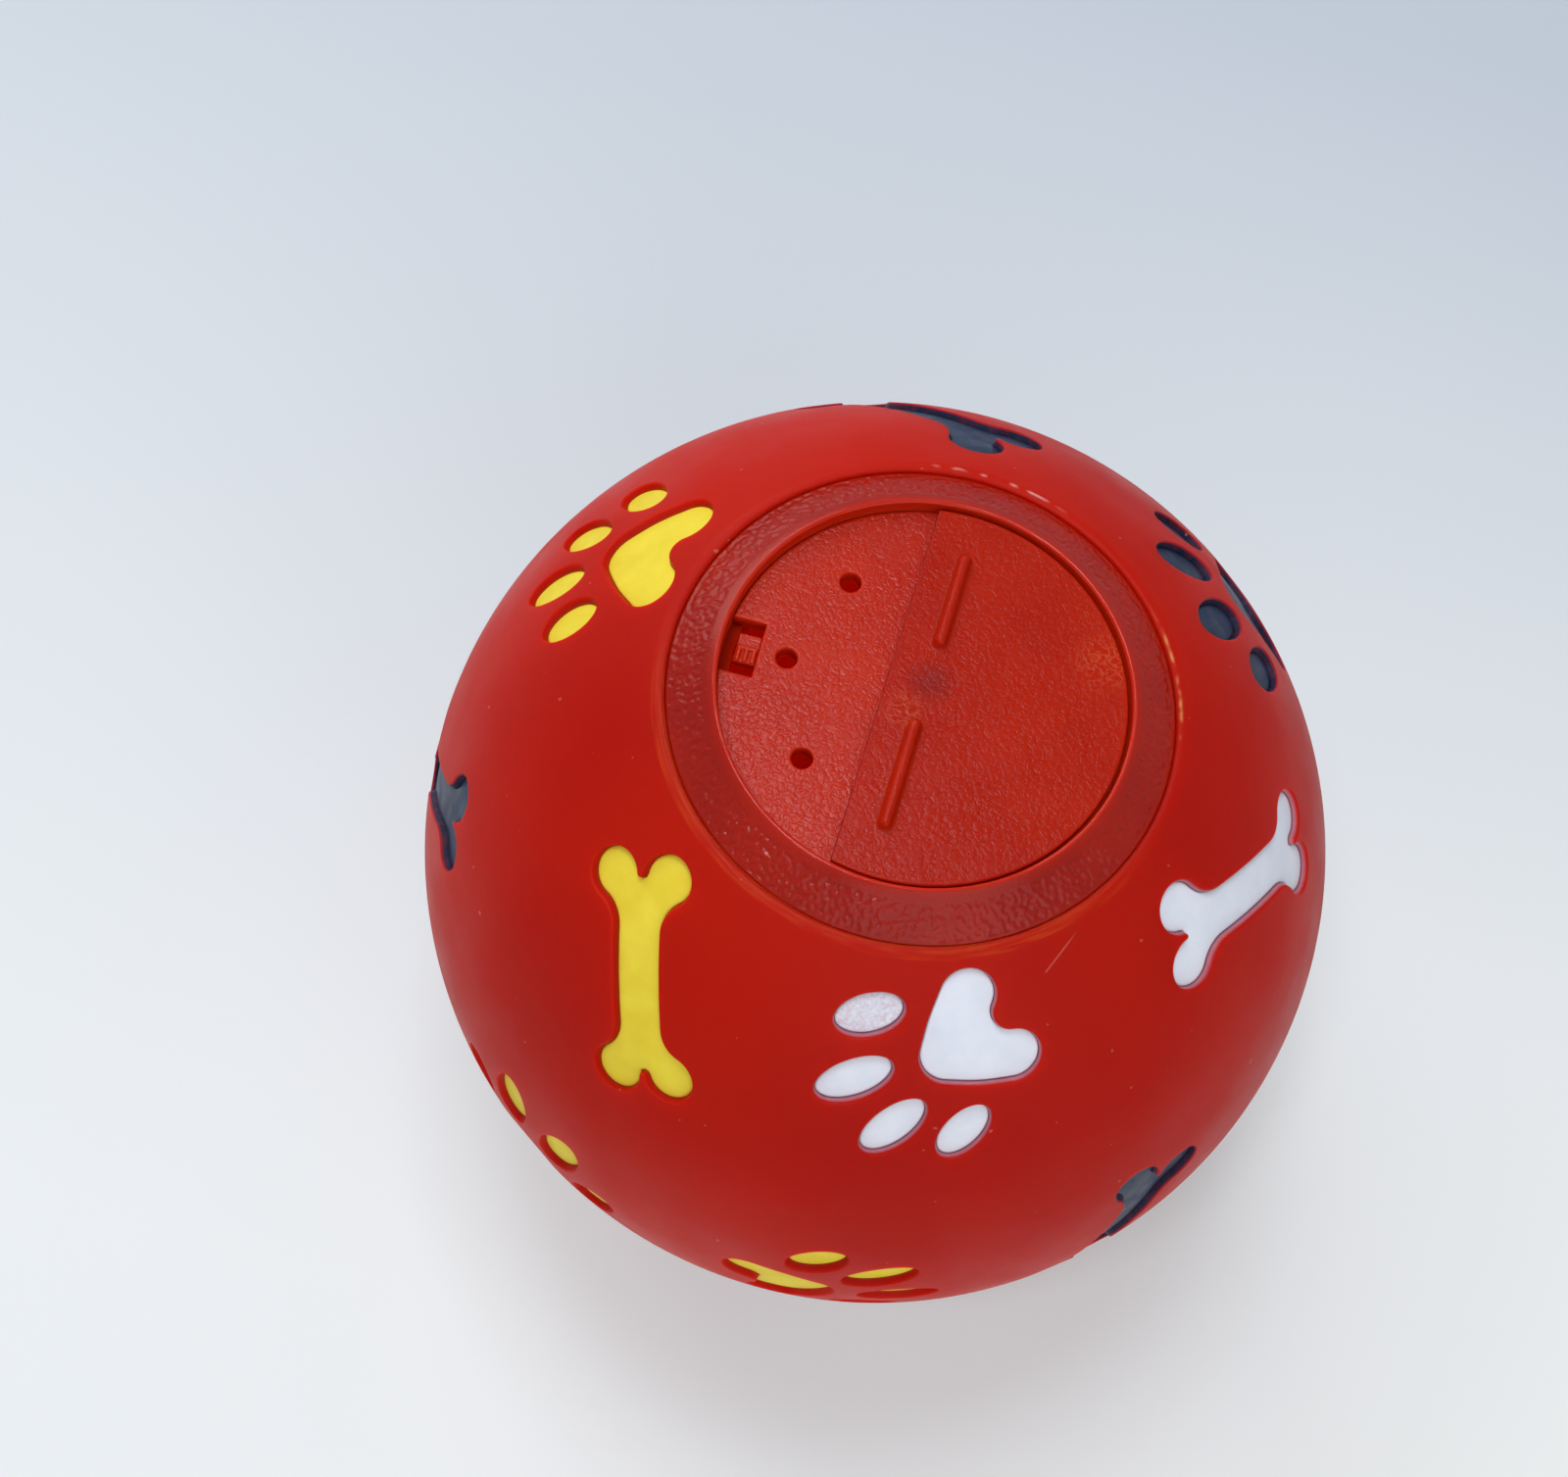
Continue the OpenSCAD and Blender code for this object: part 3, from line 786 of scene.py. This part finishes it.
def round_loop(r, centre=(0, 0), pitch=OUTLINE_PITCH):
    steps = max(CIRCLE_STEPS, math.ceil(2 * math.pi * r / pitch))
    return np.array(centre) + r * direction(np.linspace(0, 360, steps, endpoint=False))


def open_ring(r, gap):
    """A circle that is open over a gap, in degrees, to each side of -X."""
    steps = math.ceil(2 * math.pi * r / OUTLINE_PITCH)
    return r * direction(np.linspace(-180 + gap, 180 - gap, steps))


def densify(corners, pitch=OUTLINE_PITCH):
    """Points along the straight sides of a closed outline."""
    points = []
    for here, there in zip(corners, np.roll(corners, -1, axis=0)):
        steps = max(1, math.ceil(np.linalg.norm(there - here) / pitch))
        points.append(here + (there - here) * np.linspace(0, 1, steps, endpoint=False)[:, None])
    return np.concatenate(points)


# A sharp corner is drawn in by at most the inset over this share
CORNER_SHARE = 0.5


def offset(loop, inset):
    """A closed outline drawn in by inset, for outlines that run anticlockwise."""
    back = unit(loop - np.roll(loop, 1, axis=0))
    ahead = unit(np.roll(loop, -1, axis=0) - loop)
    tangent = unit(back + ahead)
    normal = np.column_stack([-tangent[:, 1], tangent[:, 0]])
    reach = np.maximum(normal[:, 0] * -ahead[:, 1] + normal[:, 1] * ahead[:, 0], CORNER_SHARE)
    return loop + normal * (inset / reach)[:, None]


def at_height(flat, z):
    return np.column_stack([flat, np.full(len(flat), z)])


def slab(outer, holes, low, high, grain_seed, raised=()):
    """A grained plate with softened upper edges. raised holds the rings of what grows out of its top."""
    form = Surface()
    soft = SLAB_BEVEL * BEVEL_MID
    sides = [(soft, high - soft), (0.0, high - SLAB_BEVEL), (0.0, low)]
    loops = [offset(outer, SLAB_BEVEL)] + [offset(hole, -SLAB_BEVEL) for hole in holes]
    loops += [rings[0] for rings in raised]
    flats = [loop[:, :2] for loop in loops]
    loose = hex_points(flats, GRAIN_PITCH, GRAIN_PITCH * GRAIN_GAP)
    points = at_height(loose, high)
    edge_gap = clear_of(loose, flats, GRAIN_PITCH * GRAIN_MARGIN)
    points[:, 2] -= WORM_DEPTH * worms(points, grain_seed) * edge_gap
    numbers = [form.add(at_height(flat, high)) for flat in flats]
    top = np.concatenate([*numbers, form.add(points)])
    form.cover(triangulate(flats, loose), top, 1)
    lowest = []
    for i, loop in enumerate([outer, *holes]):
        above = numbers[i]
        for inset, z in sides:
            here = form.add(at_height(offset(loop, inset if i == 0 else -inset), z))
            pair = (above, here) if i == 0 else (here, above)
            form.bridge(*pair)
            above = here
        lowest.append(above)
    for rings, above in zip(raised, numbers[1 + len(holes):]):
        for ring in rings[1:]:
            above = form.ring(ring, above)
        form.close(above)
    form.cover(triangulate([outer, *holes], np.empty((0, 2))), np.concatenate(lowest), -1)
    return form


def make_plate(material):
    """The fixed disc with its small holes, the treat port, the bore and the notch round the tongue."""
    half = (TONGUE_HIGH[1] - TONGUE_LOW[1]) / 2 + TONGUE_SLOT
    root = TONGUE_HIGH[0] + TONGUE_ROOT_GAP
    rim = open_ring(PLATE_R, math.degrees(math.asin(half / PLATE_R)))
    outer = densify(np.concatenate([rim, [[root, half], [root, -half]]]))
    turns = [180 + step * HOLE_STEP for step in (-1, 0, 1)]
    holes = [round_loop(HOLE_R, HOLE_RING_R * direction(turn), HOLE_PITCH) for turn in turns]
    holes += [round_loop(PORT_R, (PORT_OFFSET, 0)), round_loop(BORE_R)]
    form = slab(outer, holes, PLATE_Z, PLATE_TOP, PLATE_SEED)
    form.piece("port_plate", "base_plate", "ball", "cap_plastic", material)


# A rib's flank from its soft foot to its narrow crest, as shares of its half width and of its height
RIB_PROFILE = [
    (-0.3, 0.0), (-0.18, 0.03), (-0.06, 0.11), (0.05, 0.25), (0.15, 0.43),
    (0.27, 0.62), (0.41, 0.79), (0.56, 0.91), (0.72, 0.98), (0.9, 1.0),
]


def rib_rings(turn, start, length):
    """Rings of a grip rib, from its soft foot to its crest."""
    r = RIB_W / 2
    arcs = [((0, start + length - r), r, 1, 0, 180), ((0, start + r), r, 1, 180, 360)]
    tilt = np.array(Matrix.Rotation(math.radians(turn), 2))
    return [
        at_height(arc_ring(arcs, inset * r) @ tilt.T, SHUTTER_TOP + rise * RIB_H)
        for inset, rise in RIB_PROFILE
    ]


def boss_quarter(form, start, end):
    """One quarter of the split boss under the shutter, with its snap edge."""
    root_z = SHUTTER_Z + SHUTTER_T / 2
    snap_r, snap_top = BOSS_R + SNAP_W, SNAP_Z + SNAP_H
    profile = [
        (BOSS_R - BOSS_WALL, root_z), (BOSS_R - BOSS_WALL, SNAP_Z), (BOSS_R, SNAP_Z),
        (snap_r, snap_top - SNAP_EDGE), (snap_r - SNAP_LEAD, snap_top), (BOSS_R, snap_top), (BOSS_R, root_z),
    ]
    rings = []
    for turn in np.linspace(start, end, BOSS_STEPS):
        x, y = direction(turn)
        rings.append(form.add([(r * x, r * y, z) for r, z in profile]))
    for here, there in zip(rings, rings[1:]):
        form.bridge(here, there)
    form.close(rings[0])
    form.close(rings[-1][::-1])


def make_shutter(material):
    """The turning disc, cut off by a straight edge, with two grip ribs and a split boss."""
    outer = densify(open_ring(SHUTTER_R, CHORD_ANGLE))
    form = slab(outer, [], SHUTTER_Z, SHUTTER_TOP, SHUTTER_SEED, [rib_rings(*rib) for rib in RIBS])
    open_angle = math.degrees(math.asin(SPLIT_W / 2 / BOSS_R))
    for quarter in range(4):
        boss_quarter(form, 90 * quarter + open_angle, 90 * quarter + 90 - open_angle)
    form.turn(SHUTTER_REST)
    form.piece("turning_shutter", "shutter", "shutter", "cap_plastic", material)


def make_tongue(material):
    """The springy tongue: a small block with one ridge along it and short ridges that meet it."""
    form = Surface()
    low, high = TONGUE_LOW, TONGUE_HIGH + [TONGUE_ROOT_GAP - ROOT_SEAM, 0, 0]
    top = high[2] - RIDGE_H
    length = high[0] - low[0]
    corners = np.array([[low[0], low[1]], [high[0], low[1]], [high[0], high[1]], [low[0], high[1]]])
    outer = densify(corners, TONGUE_PITCH)
    flat = offset(outer, TONGUE_BEVEL)
    loose = hex_points([flat], RIDGE_PITCH, RIDGE_GAP)
    middle_y = (low[1] + high[1]) / 2

    def ridge(distance):
        share = np.clip((RIDGE_W * RIDGE_FOOT - np.abs(distance)) / (RIDGE_W * RIDGE_FLANK), 0, 1)
        return share * share * (3 - 2 * share)

    rise = ridge(loose[:, 1] - middle_y)
    pitch = length / RIDGES
    for row in range(RIDGES):
        short = ridge(loose[:, 0] - low[0] - pitch * (row + 0.5)) * (loose[:, 1] < middle_y)
        rise = np.maximum(rise, short)
    rim = form.add(at_height(flat, top))
    extra = form.add(np.column_stack([loose, top + RIDGE_H * rise]))
    form.cover(triangulate([flat], loose), np.concatenate([rim, extra]), 1)
    above = rim
    soft = TONGUE_BEVEL * BEVEL_MID
    for inset, z in [(soft, top - soft), (0.0, top - TONGUE_BEVEL), (0.0, low[2])]:
        points = at_height(offset(outer, inset), z)
        points[:, 0] -= ROOT_LEAN * (top - z) / (top - low[2]) * (points[:, 0] - low[0]) / length
        here = form.add(points)
        form.bridge(above, here)
        above = here
    form.close(above[::-1])
    form.piece("spring_tongue", "click_tongue", "tongue", "cap_plastic", material)


def linear(*colour):
    """A colour given as it looks on screen, from 0 to 255, for the shaders."""
    shares = [part / 255 for part in colour]
    return (*(s / 12.92 if s <= 0.04045 else ((s + 0.055) / 1.055) ** 2.4 for s in shares), 1.0)


def add_node(tree, kind, inputs=(), **settings):
    """Adds a node with its settings, and with a value or a link for each of its inputs."""
    node = tree.nodes.new(kind)
    for key, value in settings.items():
        setattr(node, key, value)
    for key, value in dict(inputs).items():
        if isinstance(value, bpy.types.NodeSocket):
            tree.links.new(value, node.inputs[key])
        else:
            node.inputs[key].default_value = value
    return node


# The share of a drawn line's width over which it is full
LINE_CORE = 0.2


class Look:
    """A material's node tree, with a few short ways to add to it. Sizes are in millimetres."""

    def __init__(self, name, **sockets):
        self.material = bpy.data.materials.new(name)
        self.material.use_nodes = True
        self.tree = self.material.node_tree
        self.shader = self.tree.nodes["Principled BSDF"]
        for socket, value in sockets.items():
            self.shader.inputs[socket.replace("_", " ")].default_value = value
        self.place = self.add("ShaderNodeTexCoord").outputs["Object"]

    def add(self, kind, inputs=(), **settings):
        return add_node(self.tree, kind, inputs, **settings)

    def noise(self, pitch, detail, **inputs):
        """Noise whose features are about pitch millimetres wide."""
        inputs = {"Vector": self.place, "Scale": 1 / (pitch * MM), "Detail": detail, **inputs}
        return self.add("ShaderNodeTexNoise", inputs).outputs["Fac"]

    def ramp(self, value, low, high, start=0.0, end=1.0):
        inputs = {"Value": value, "From Min": low, "From Max": high, "To Min": start, "To Max": end}
        return self.add("ShaderNodeMapRange", inputs).outputs["Result"]

    def patches(self, pitch, detail, *spans):
        """Noise, spread as ramp spreads it."""
        return self.ramp(self.noise(pitch, detail), *spans)

    def math(self, operation, a, b):
        return self.add("ShaderNodeMath", {0: a, 1: b}, operation=operation).outputs[0]

    def mix(self, share, a, b):
        return self.add("ShaderNodeMix", {0: share, 6: a, 7: b}, data_type="RGBA").outputs[2]

    def tint(self, colour, other, *shares):
        """A colour mixed with another by the product of the shares."""
        share = shares[0]
        for part in shares[1:]:
            share = self.math("MULTIPLY", share, part)
        return self.mix(share, colour, other)

    def vector(self, operation, a, b, output="Vector"):
        return self.add("ShaderNodeVectorMath", {0: a, 1: b}, operation=operation).outputs[output]

    def spot(self, centre, inner, outer):
        """One inside a round spot on the surface, nought outside it."""
        away = self.vector("DISTANCE", self.place, Vector(centre) * MM, "Value")
        return self.ramp(away, inner * MM, outer * MM, 1.0, 0.0)

    def line(self, start, end, width):
        """One on a straight line from start to end, nought beside it."""
        start, end = Vector(start) * MM, Vector(end) * MM
        along = (end - start) / (end - start).length_squared
        away = self.vector("SUBTRACT", self.place, start)
        share = self.ramp(self.vector("DOT_PRODUCT", away, along, "Value"), 0.0, 1.0)
        foot = self.vector("MULTIPLY", end - start, share)
        gap = self.vector("DISTANCE", away, foot, "Value")
        return self.ramp(gap, LINE_CORE * width * MM, width * MM, 1.0, 0.0)

    def bump(self, height, depth, **inputs):
        inputs = {"Height": height, "Distance": depth * MM, "Strength": 1.0, **inputs}
        return self.add("ShaderNodeBump", inputs).outputs["Normal"]

    def grain(self, pitch, detail, depth, **inputs):
        return self.bump(self.noise(pitch, detail), depth, **inputs)

    def use(self, **sockets):
        for socket, value in sockets.items():
            self.tree.links.new(value, self.shader.inputs[socket.replace("_", " ")])
        return self.material


# Patches of noise are given as pitch in millimetres, detail, low and high value, and what these become.
# A skin's grain is given as pitch, detail and depth
RED = linear(187, 24, 5)
DEEP_RED = linear(176, 18, 5)
VINYL_MOTTLE = (38, 2.0, 0.35, 0.65)
VINYL_WEAR = (9, 4.0, 0.3, 0.7, 0.38, 0.52)
VINYL_SKIN = (0.8, 3.0, 0.012)
VINYL_WAVES = (6, 2.0, 0.05)
WALL_PATCHES = (0.9, 3.0, 0.3, 0.6, 0.85, 1.0)
DUST = linear(222, 140, 120)
DUST_SPECKS = (0.9, 0.0, 0.86, 0.89)
DUST_SHARE = 0.4
# A fine scratch on the ball beside the cap: its two ends, its width and how well it shows
SCRATCH = ((21.2, -20.0, 46.8), (19.0, -24.9, 45.2))
SCRATCH_W = 0.13
SCRATCH_SHARE = 0.45


def vinyl_look():
    """Soft red vinyl that lets light in, with paint and painted shade on the motifs' walls, the lip's
    painted glow and glints, dust and a scratch.
    """
    look = Look(
        "red_vinyl", Roughness=0.45, Specular_IOR_Level=0.07,
        Subsurface_Weight=1.0, Subsurface_Scale=0.006, Subsurface_Radius=(1.0, 0.15, 0.08),
    )
    colour = look.mix(look.patches(*VINYL_MOTTLE), RED, DEEP_RED)
    paint = look.add("ShaderNodeAttribute", attribute_name="wall_paint_and_painted_light").outputs
    # The attribute's colour is paint on the walls, with painted shade at their feet and painted glow and
    # glints on the lip
    colour = look.tint(colour, paint["Color"], paint["Alpha"], look.patches(*WALL_PATCHES))
    colour = look.tint(colour, DUST, look.patches(*DUST_SPECKS), DUST_SHARE)
    colour = look.tint(colour, DUST, look.line(*SCRATCH, SCRATCH_W), SCRATCH_SHARE)
    skin = look.grain(*VINYL_WAVES, Normal=look.grain(*VINYL_SKIN))
    return look.use(Base_Color=colour, Roughness=look.patches(*VINYL_WEAR), Normal=skin)


# Each cap material: bright and deep red, pitch and depth of its fine grooves, gloss and least roughness
CAP_LOOKS = {
    # The plate's reds are lighter and the collar's darker than the shutter's: painted light and painted
    # shade
    "cap_plastic": (linear(196, 42, 7), linear(184, 33, 6), 0.75, 0.02, 0.14, 0.2),
    "collar_plastic_painted_shade": (linear(170, 27, 8), linear(155, 20, 8), 0.7, 0.008, 0.2, 0.14),
    "shutter_plastic": (linear(183, 34, 5), linear(173, 28, 5), 0.75, 0.014, 0.09, 0.2),
}
CAP_MOTTLE = (14, 3.0, 0.35, 0.65)
CAP_WEAR = (5, 4.0, 0.3, 0.7)
CAP_WEAR_SPAN = 0.08
# The smooth rim's red, lighter and more orange than the collar's: painted light on the rim
RIM_LIT_RED = linear(188, 34, 8)
RIM_SMOOTH = 0.6
# Painted shade in the grooves: its dark red and share, and the grooves' width
GROOVE_SHADE_RED = linear(132, 10, 6)
GROOVE_SHADE_SHARE = 0.08
GROOVE_W = 0.09
# The shutter's marks: painted shade along its straight edge, a dark spot where the plastic flowed in, and
# pale stress cracks
EDGE_SHADE_W = 0.32
EDGE_SHADE_SHARE = 0.75
GATE_DARK = linear(112, 30, 28)
GATE = (0.4, 1.0)
GATE_REACH = (0.6, 3.0)
GATE_PATCHES = (1.4, 2.0, 0.3, 0.7, 0.4, 0.6)
CAP_PALE = linear(214, 96, 52)
CRACKS = [((17.7, 8.4), 4.2), ((-1.6, -2.9), 2.8)]
CRACK_CORE = 0.25
CRACK_SHARE = 0.45


def grooves(look, pitch):
    """Fine worm-like grooves: nought in a groove, one on the flat between."""
    wave = look.noise(pitch, detail=1.0, Roughness=0.4, Distortion=0.5)
    away = look.math("ABSOLUTE", look.math("SUBTRACT", wave, 0.5), 0.0)
    return look.ramp(away, 0.0, GROOVE_W)


def cap_look(name, marked=False):
    """Hard red plastic whose grooves are darkened and smooth rim lightened, as painted shade and painted
    light. The shutter's is marked.
    """
    bright, deep, pitch, depth, gloss, worn = CAP_LOOKS[name]
    look = Look(
        name, Specular_IOR_Level=gloss,
        Subsurface_Weight=0.8, Subsurface_Scale=0.001, Subsurface_Radius=(1.0, 0.2, 0.1),
    )
    colour = look.mix(look.patches(*CAP_MOTTLE), bright, deep)
    rim = look.add("ShaderNodeAttribute", attribute_name="wall_paint_and_painted_light").outputs["Alpha"]
    flat = look.math("MAXIMUM", grooves(look, pitch), rim)
    groove = look.math("SUBTRACT", 1.0, flat)
    # Painted shade: the grooves are darkened
    colour = look.tint(colour, GROOVE_SHADE_RED, groove, GROOVE_SHADE_SHARE)
    # Painted light: the smooth rim is tinted a lighter red
    colour = look.tint(colour, RIM_LIT_RED, rim)
    if marked:
        turns = 180 + SHUTTER_REST + np.array([-CHORD_ANGLE, CHORD_ANGLE])
        ends = at_height(SHUTTER_R * direction(turns), SHUTTER_TOP)
        # Painted shade along the straight edge, where the shutter steps down to the plate
        colour = look.tint(colour, GROOVE_SHADE_RED, look.line(*ends, EDGE_SHADE_W), EDGE_SHADE_SHARE)
        gate = look.spot((*GATE, SHUTTER_TOP), *GATE_REACH)
        colour = look.tint(colour, GATE_DARK, gate, look.patches(*GATE_PATCHES))
        for centre, reach in CRACKS:
            spot = look.spot((*centre, SHUTTER_TOP), reach * CRACK_CORE, reach)
            colour = look.tint(colour, CAP_PALE, groove, spot, CRACK_SHARE)
    dull = look.patches(*CAP_WEAR, worn, worn + CAP_WEAR_SPAN)
    dull = look.math("MULTIPLY", dull, look.ramp(rim, 0.0, 1.0, 1.0, RIM_SMOOTH))
    return look.use(Base_Color=colour, Roughness=dull, Normal=look.bump(flat, depth))


# Each paint's bright and dull colour, and its gloss
PAINTS = {
    "white": (linear(238, 242, 250), linear(230, 233, 243), 0.05),
    "yellow": (linear(244, 221, 70), linear(236, 208, 58), 0.05),
    "navy": (linear(13, 40, 74), linear(8, 24, 48), 0.3),
}
PAINT_MOTTLE = (3.5, 4.0, 0.35, 0.7)
PAINT_FINE = (0.5, 2.0, 0.62, 0.78)
PAINT_FINE_SHARE = 0.35
PAINT_WEAR = (2.5, 4.0, 0.3, 0.7, 0.36, 0.55)
PAINT_SKIN = (0.45, 3.0, 0.02)
# The toe whose white paint is thin and lets the vinyl through: its place and reach, and its pink specks
THIN_TOE = (2.73, -33.04, 42.63)
THIN_REACH = (3.6, 4.6)
THIN_PINK = linear(206, 158, 168)
THIN_SPECKS = (0.4, 2.0, 0.35, 0.65)
THIN_SHARE = 0.42


def paint_look(colour):
    """Satin paint, slightly uneven, and thin on one white toe."""
    bright, dull, gloss = PAINTS[colour]
    look = Look("paint_" + colour, Roughness=0.45, Specular_IOR_Level=gloss)
    shade = look.mix(look.patches(*PAINT_MOTTLE), bright, dull)
    shade = look.tint(shade, dull, look.patches(*PAINT_FINE), PAINT_FINE_SHARE)
    if colour == "white":
        thin = look.spot(THIN_TOE, *THIN_REACH)
        shade = look.tint(shade, THIN_PINK, thin, look.patches(*THIN_SPECKS), THIN_SHARE)
    return look.use(Base_Color=shade, Roughness=look.patches(*PAINT_WEAR), Normal=look.grain(*PAINT_SKIN))


# The floor, with the stretches in metres over which it turns brighter towards +X, as painted light, and
# blue, and the sky
FLOOR_SIZE = 8.0
FLOOR_PALE = linear(238, 241, 242)
FLOOR_PAINTED_LIGHT = linear(254, 254, 250)
FLOOR_PAINTED_LIGHT_SPAN = (-0.05, 0.2)
FLOOR_BLUE = linear(196, 204, 215)
FLOOR_BLUE_SPAN = (-0.06, 0.2)
FLOOR_GLOW = 0.3
SKY_PALE = linear(236, 240, 246)
SKY_LIGHT = 0.24
SKY_SEEN = 0.65


def seen_share(tree):
    """One where the camera looks, straight or by way of a gloss or glass, and nought for other light."""
    path = add_node(tree, "ShaderNodeLightPath").outputs
    seen = path["Is Camera Ray"]
    for ray in ("Is Glossy Ray", "Is Transmission Ray"):
        seen = add_node(tree, "ShaderNodeMath", {0: seen, 1: path[ray]}, operation="MAXIMUM").outputs[0]
    return seen


def make_floor():
    """A pale floor, painted brighter towards +X as painted light, that turns slightly blue away from the
    camera.
    """
    bpy.ops.mesh.primitive_plane_add(size=FLOOR_SIZE, location=(0, 0, -BALL_R * MM))
    floor = bpy.context.object
    floor.name = "floor"
    look = Look("pale_floor", Roughness=0.9)
    across, along = look.add("ShaderNodeSeparateXYZ", {0: look.place}).outputs[:2]
    # Painted light: the floor turns brighter towards +X
    pale = look.mix(look.ramp(across, *FLOOR_PAINTED_LIGHT_SPAN), FLOOR_PALE, FLOOR_PAINTED_LIGHT)
    pale = look.mix(look.ramp(along, *FLOOR_BLUE_SPAN), pale, FLOOR_BLUE)
    floor.data.materials.append(look.use(Base_Color=pale))
    glow = look.add("ShaderNodeEmission", {"Color": pale}).outputs[0]
    share = look.math("MULTIPLY", seen_share(look.tree), FLOOR_GLOW)
    both = look.add("ShaderNodeMixShader", {0: share, 1: look.shader.outputs[0], 2: glow}).outputs[0]
    look.tree.links.new(both, look.tree.nodes["Material Output"].inputs["Surface"])


def make_sky():
    """A pale sky that is seen brighter than it lights."""
    world = bpy.context.scene.world or bpy.data.worlds.new("world")
    bpy.context.scene.world = world
    world.use_nodes = True
    tree = world.node_tree
    sky = tree.nodes["Background"]
    sky.inputs["Color"].default_value = SKY_PALE
    sky.inputs["Strength"].default_value = SKY_LIGHT
    backdrop = add_node(tree, "ShaderNodeBackground", {"Color": SKY_PALE, "Strength": SKY_SEEN})
    inputs = {0: seen_share(tree), 1: sky.outputs[0], 2: backdrop.outputs[0]}
    both = add_node(tree, "ShaderNodeMixShader", inputs).outputs[0]
    tree.links.new(both, tree.nodes["World Output"].inputs["Surface"])


# Each soft lamp: its name, place and width in metres, power in watts and colour
LAMPS = [
    ("ceiling", (-0.12, 0.18, 0.92), 0.3, 3.4, (0.84, 0.92, 1.0)),
    ("window", (-0.55, 0.6, 0.6), 0.7, 4.3, (1.0, 0.98, 0.94)),
    ("glint", (-0.22, -0.28, 0.94), 0.1, 1.4, (0.9, 0.94, 1.0)),
    ("fill", (0.35, -0.72, 0.5), 0.9, 3.2, (1.0, 1.0, 1.0)),
]
# The light inside the ball
INNER_R = 0.02
INNER_POWER = 0.036
INNER_TINT = (1.0, 0.5, 0.2)


def make_lamp(name, place, size, power, colour):
    """A square soft light that faces the ball."""
    lamp = bpy.data.lights.new(name, "AREA")
    lamp.size = size
    lamp.energy = power
    lamp.color = colour
    made = in_scene(name, lamp)
    made.location = place
    made.rotation_euler = (-Vector(place)).to_track_quat("-Z", "Y").to_euler()


def make_inner_light():
    """The daylight that comes through the soft wall and fills the hollow ball."""
    lamp = bpy.data.lights.new("through_wall", "POINT")
    lamp.shadow_soft_size = INNER_R
    lamp.energy = INNER_POWER
    lamp.color = INNER_TINT
    made = in_scene("through_wall", lamp)
    made.visible_camera = False
    made.visible_glossy = False


# The camera: its place, its turn in degrees, its lens and sensor, and in metres what is too near to be seen
CAMERA_PLACE = (-6.91, -96.13, 257.22)
CAMERA_TURN = (22.28, -4.42, 14.54)
CAMERA_LENS = 50.45
CAMERA_SENSOR = 36.0
CAMERA_NEAR = 0.01


def make_camera():
    lens = bpy.data.cameras.new("camera")
    lens.sensor_fit = "HORIZONTAL"
    lens.sensor_width = CAMERA_SENSOR
    lens.lens = CAMERA_LENS
    lens.clip_start = CAMERA_NEAR
    made = in_scene("camera", lens)
    made.location = Vector(CAMERA_PLACE) * MM
    made.rotation_euler = [math.radians(a) for a in CAMERA_TURN]
    bpy.context.scene.camera = made


make_camera()
make_floor()
make_sky()
for lamp in LAMPS:
    make_lamp(*lamp)
make_inner_light()
bpy.context.scene.view_settings.view_transform = "Standard"

cap_material = cap_look("cap_plastic")
make_shell(vinyl_look())
make_collar(cap_look("collar_plastic_painted_shade"))
make_plate(cap_material)
make_tongue(cap_material)
make_shutter(cap_look("shutter_plastic", marked=True))
paint_materials = {colour: paint_look(colour) for colour in PAINTS}
for number, motif in enumerate(MOTIFS):
    make_paint(motif, number, paint_materials[colour_of(motif[0])])
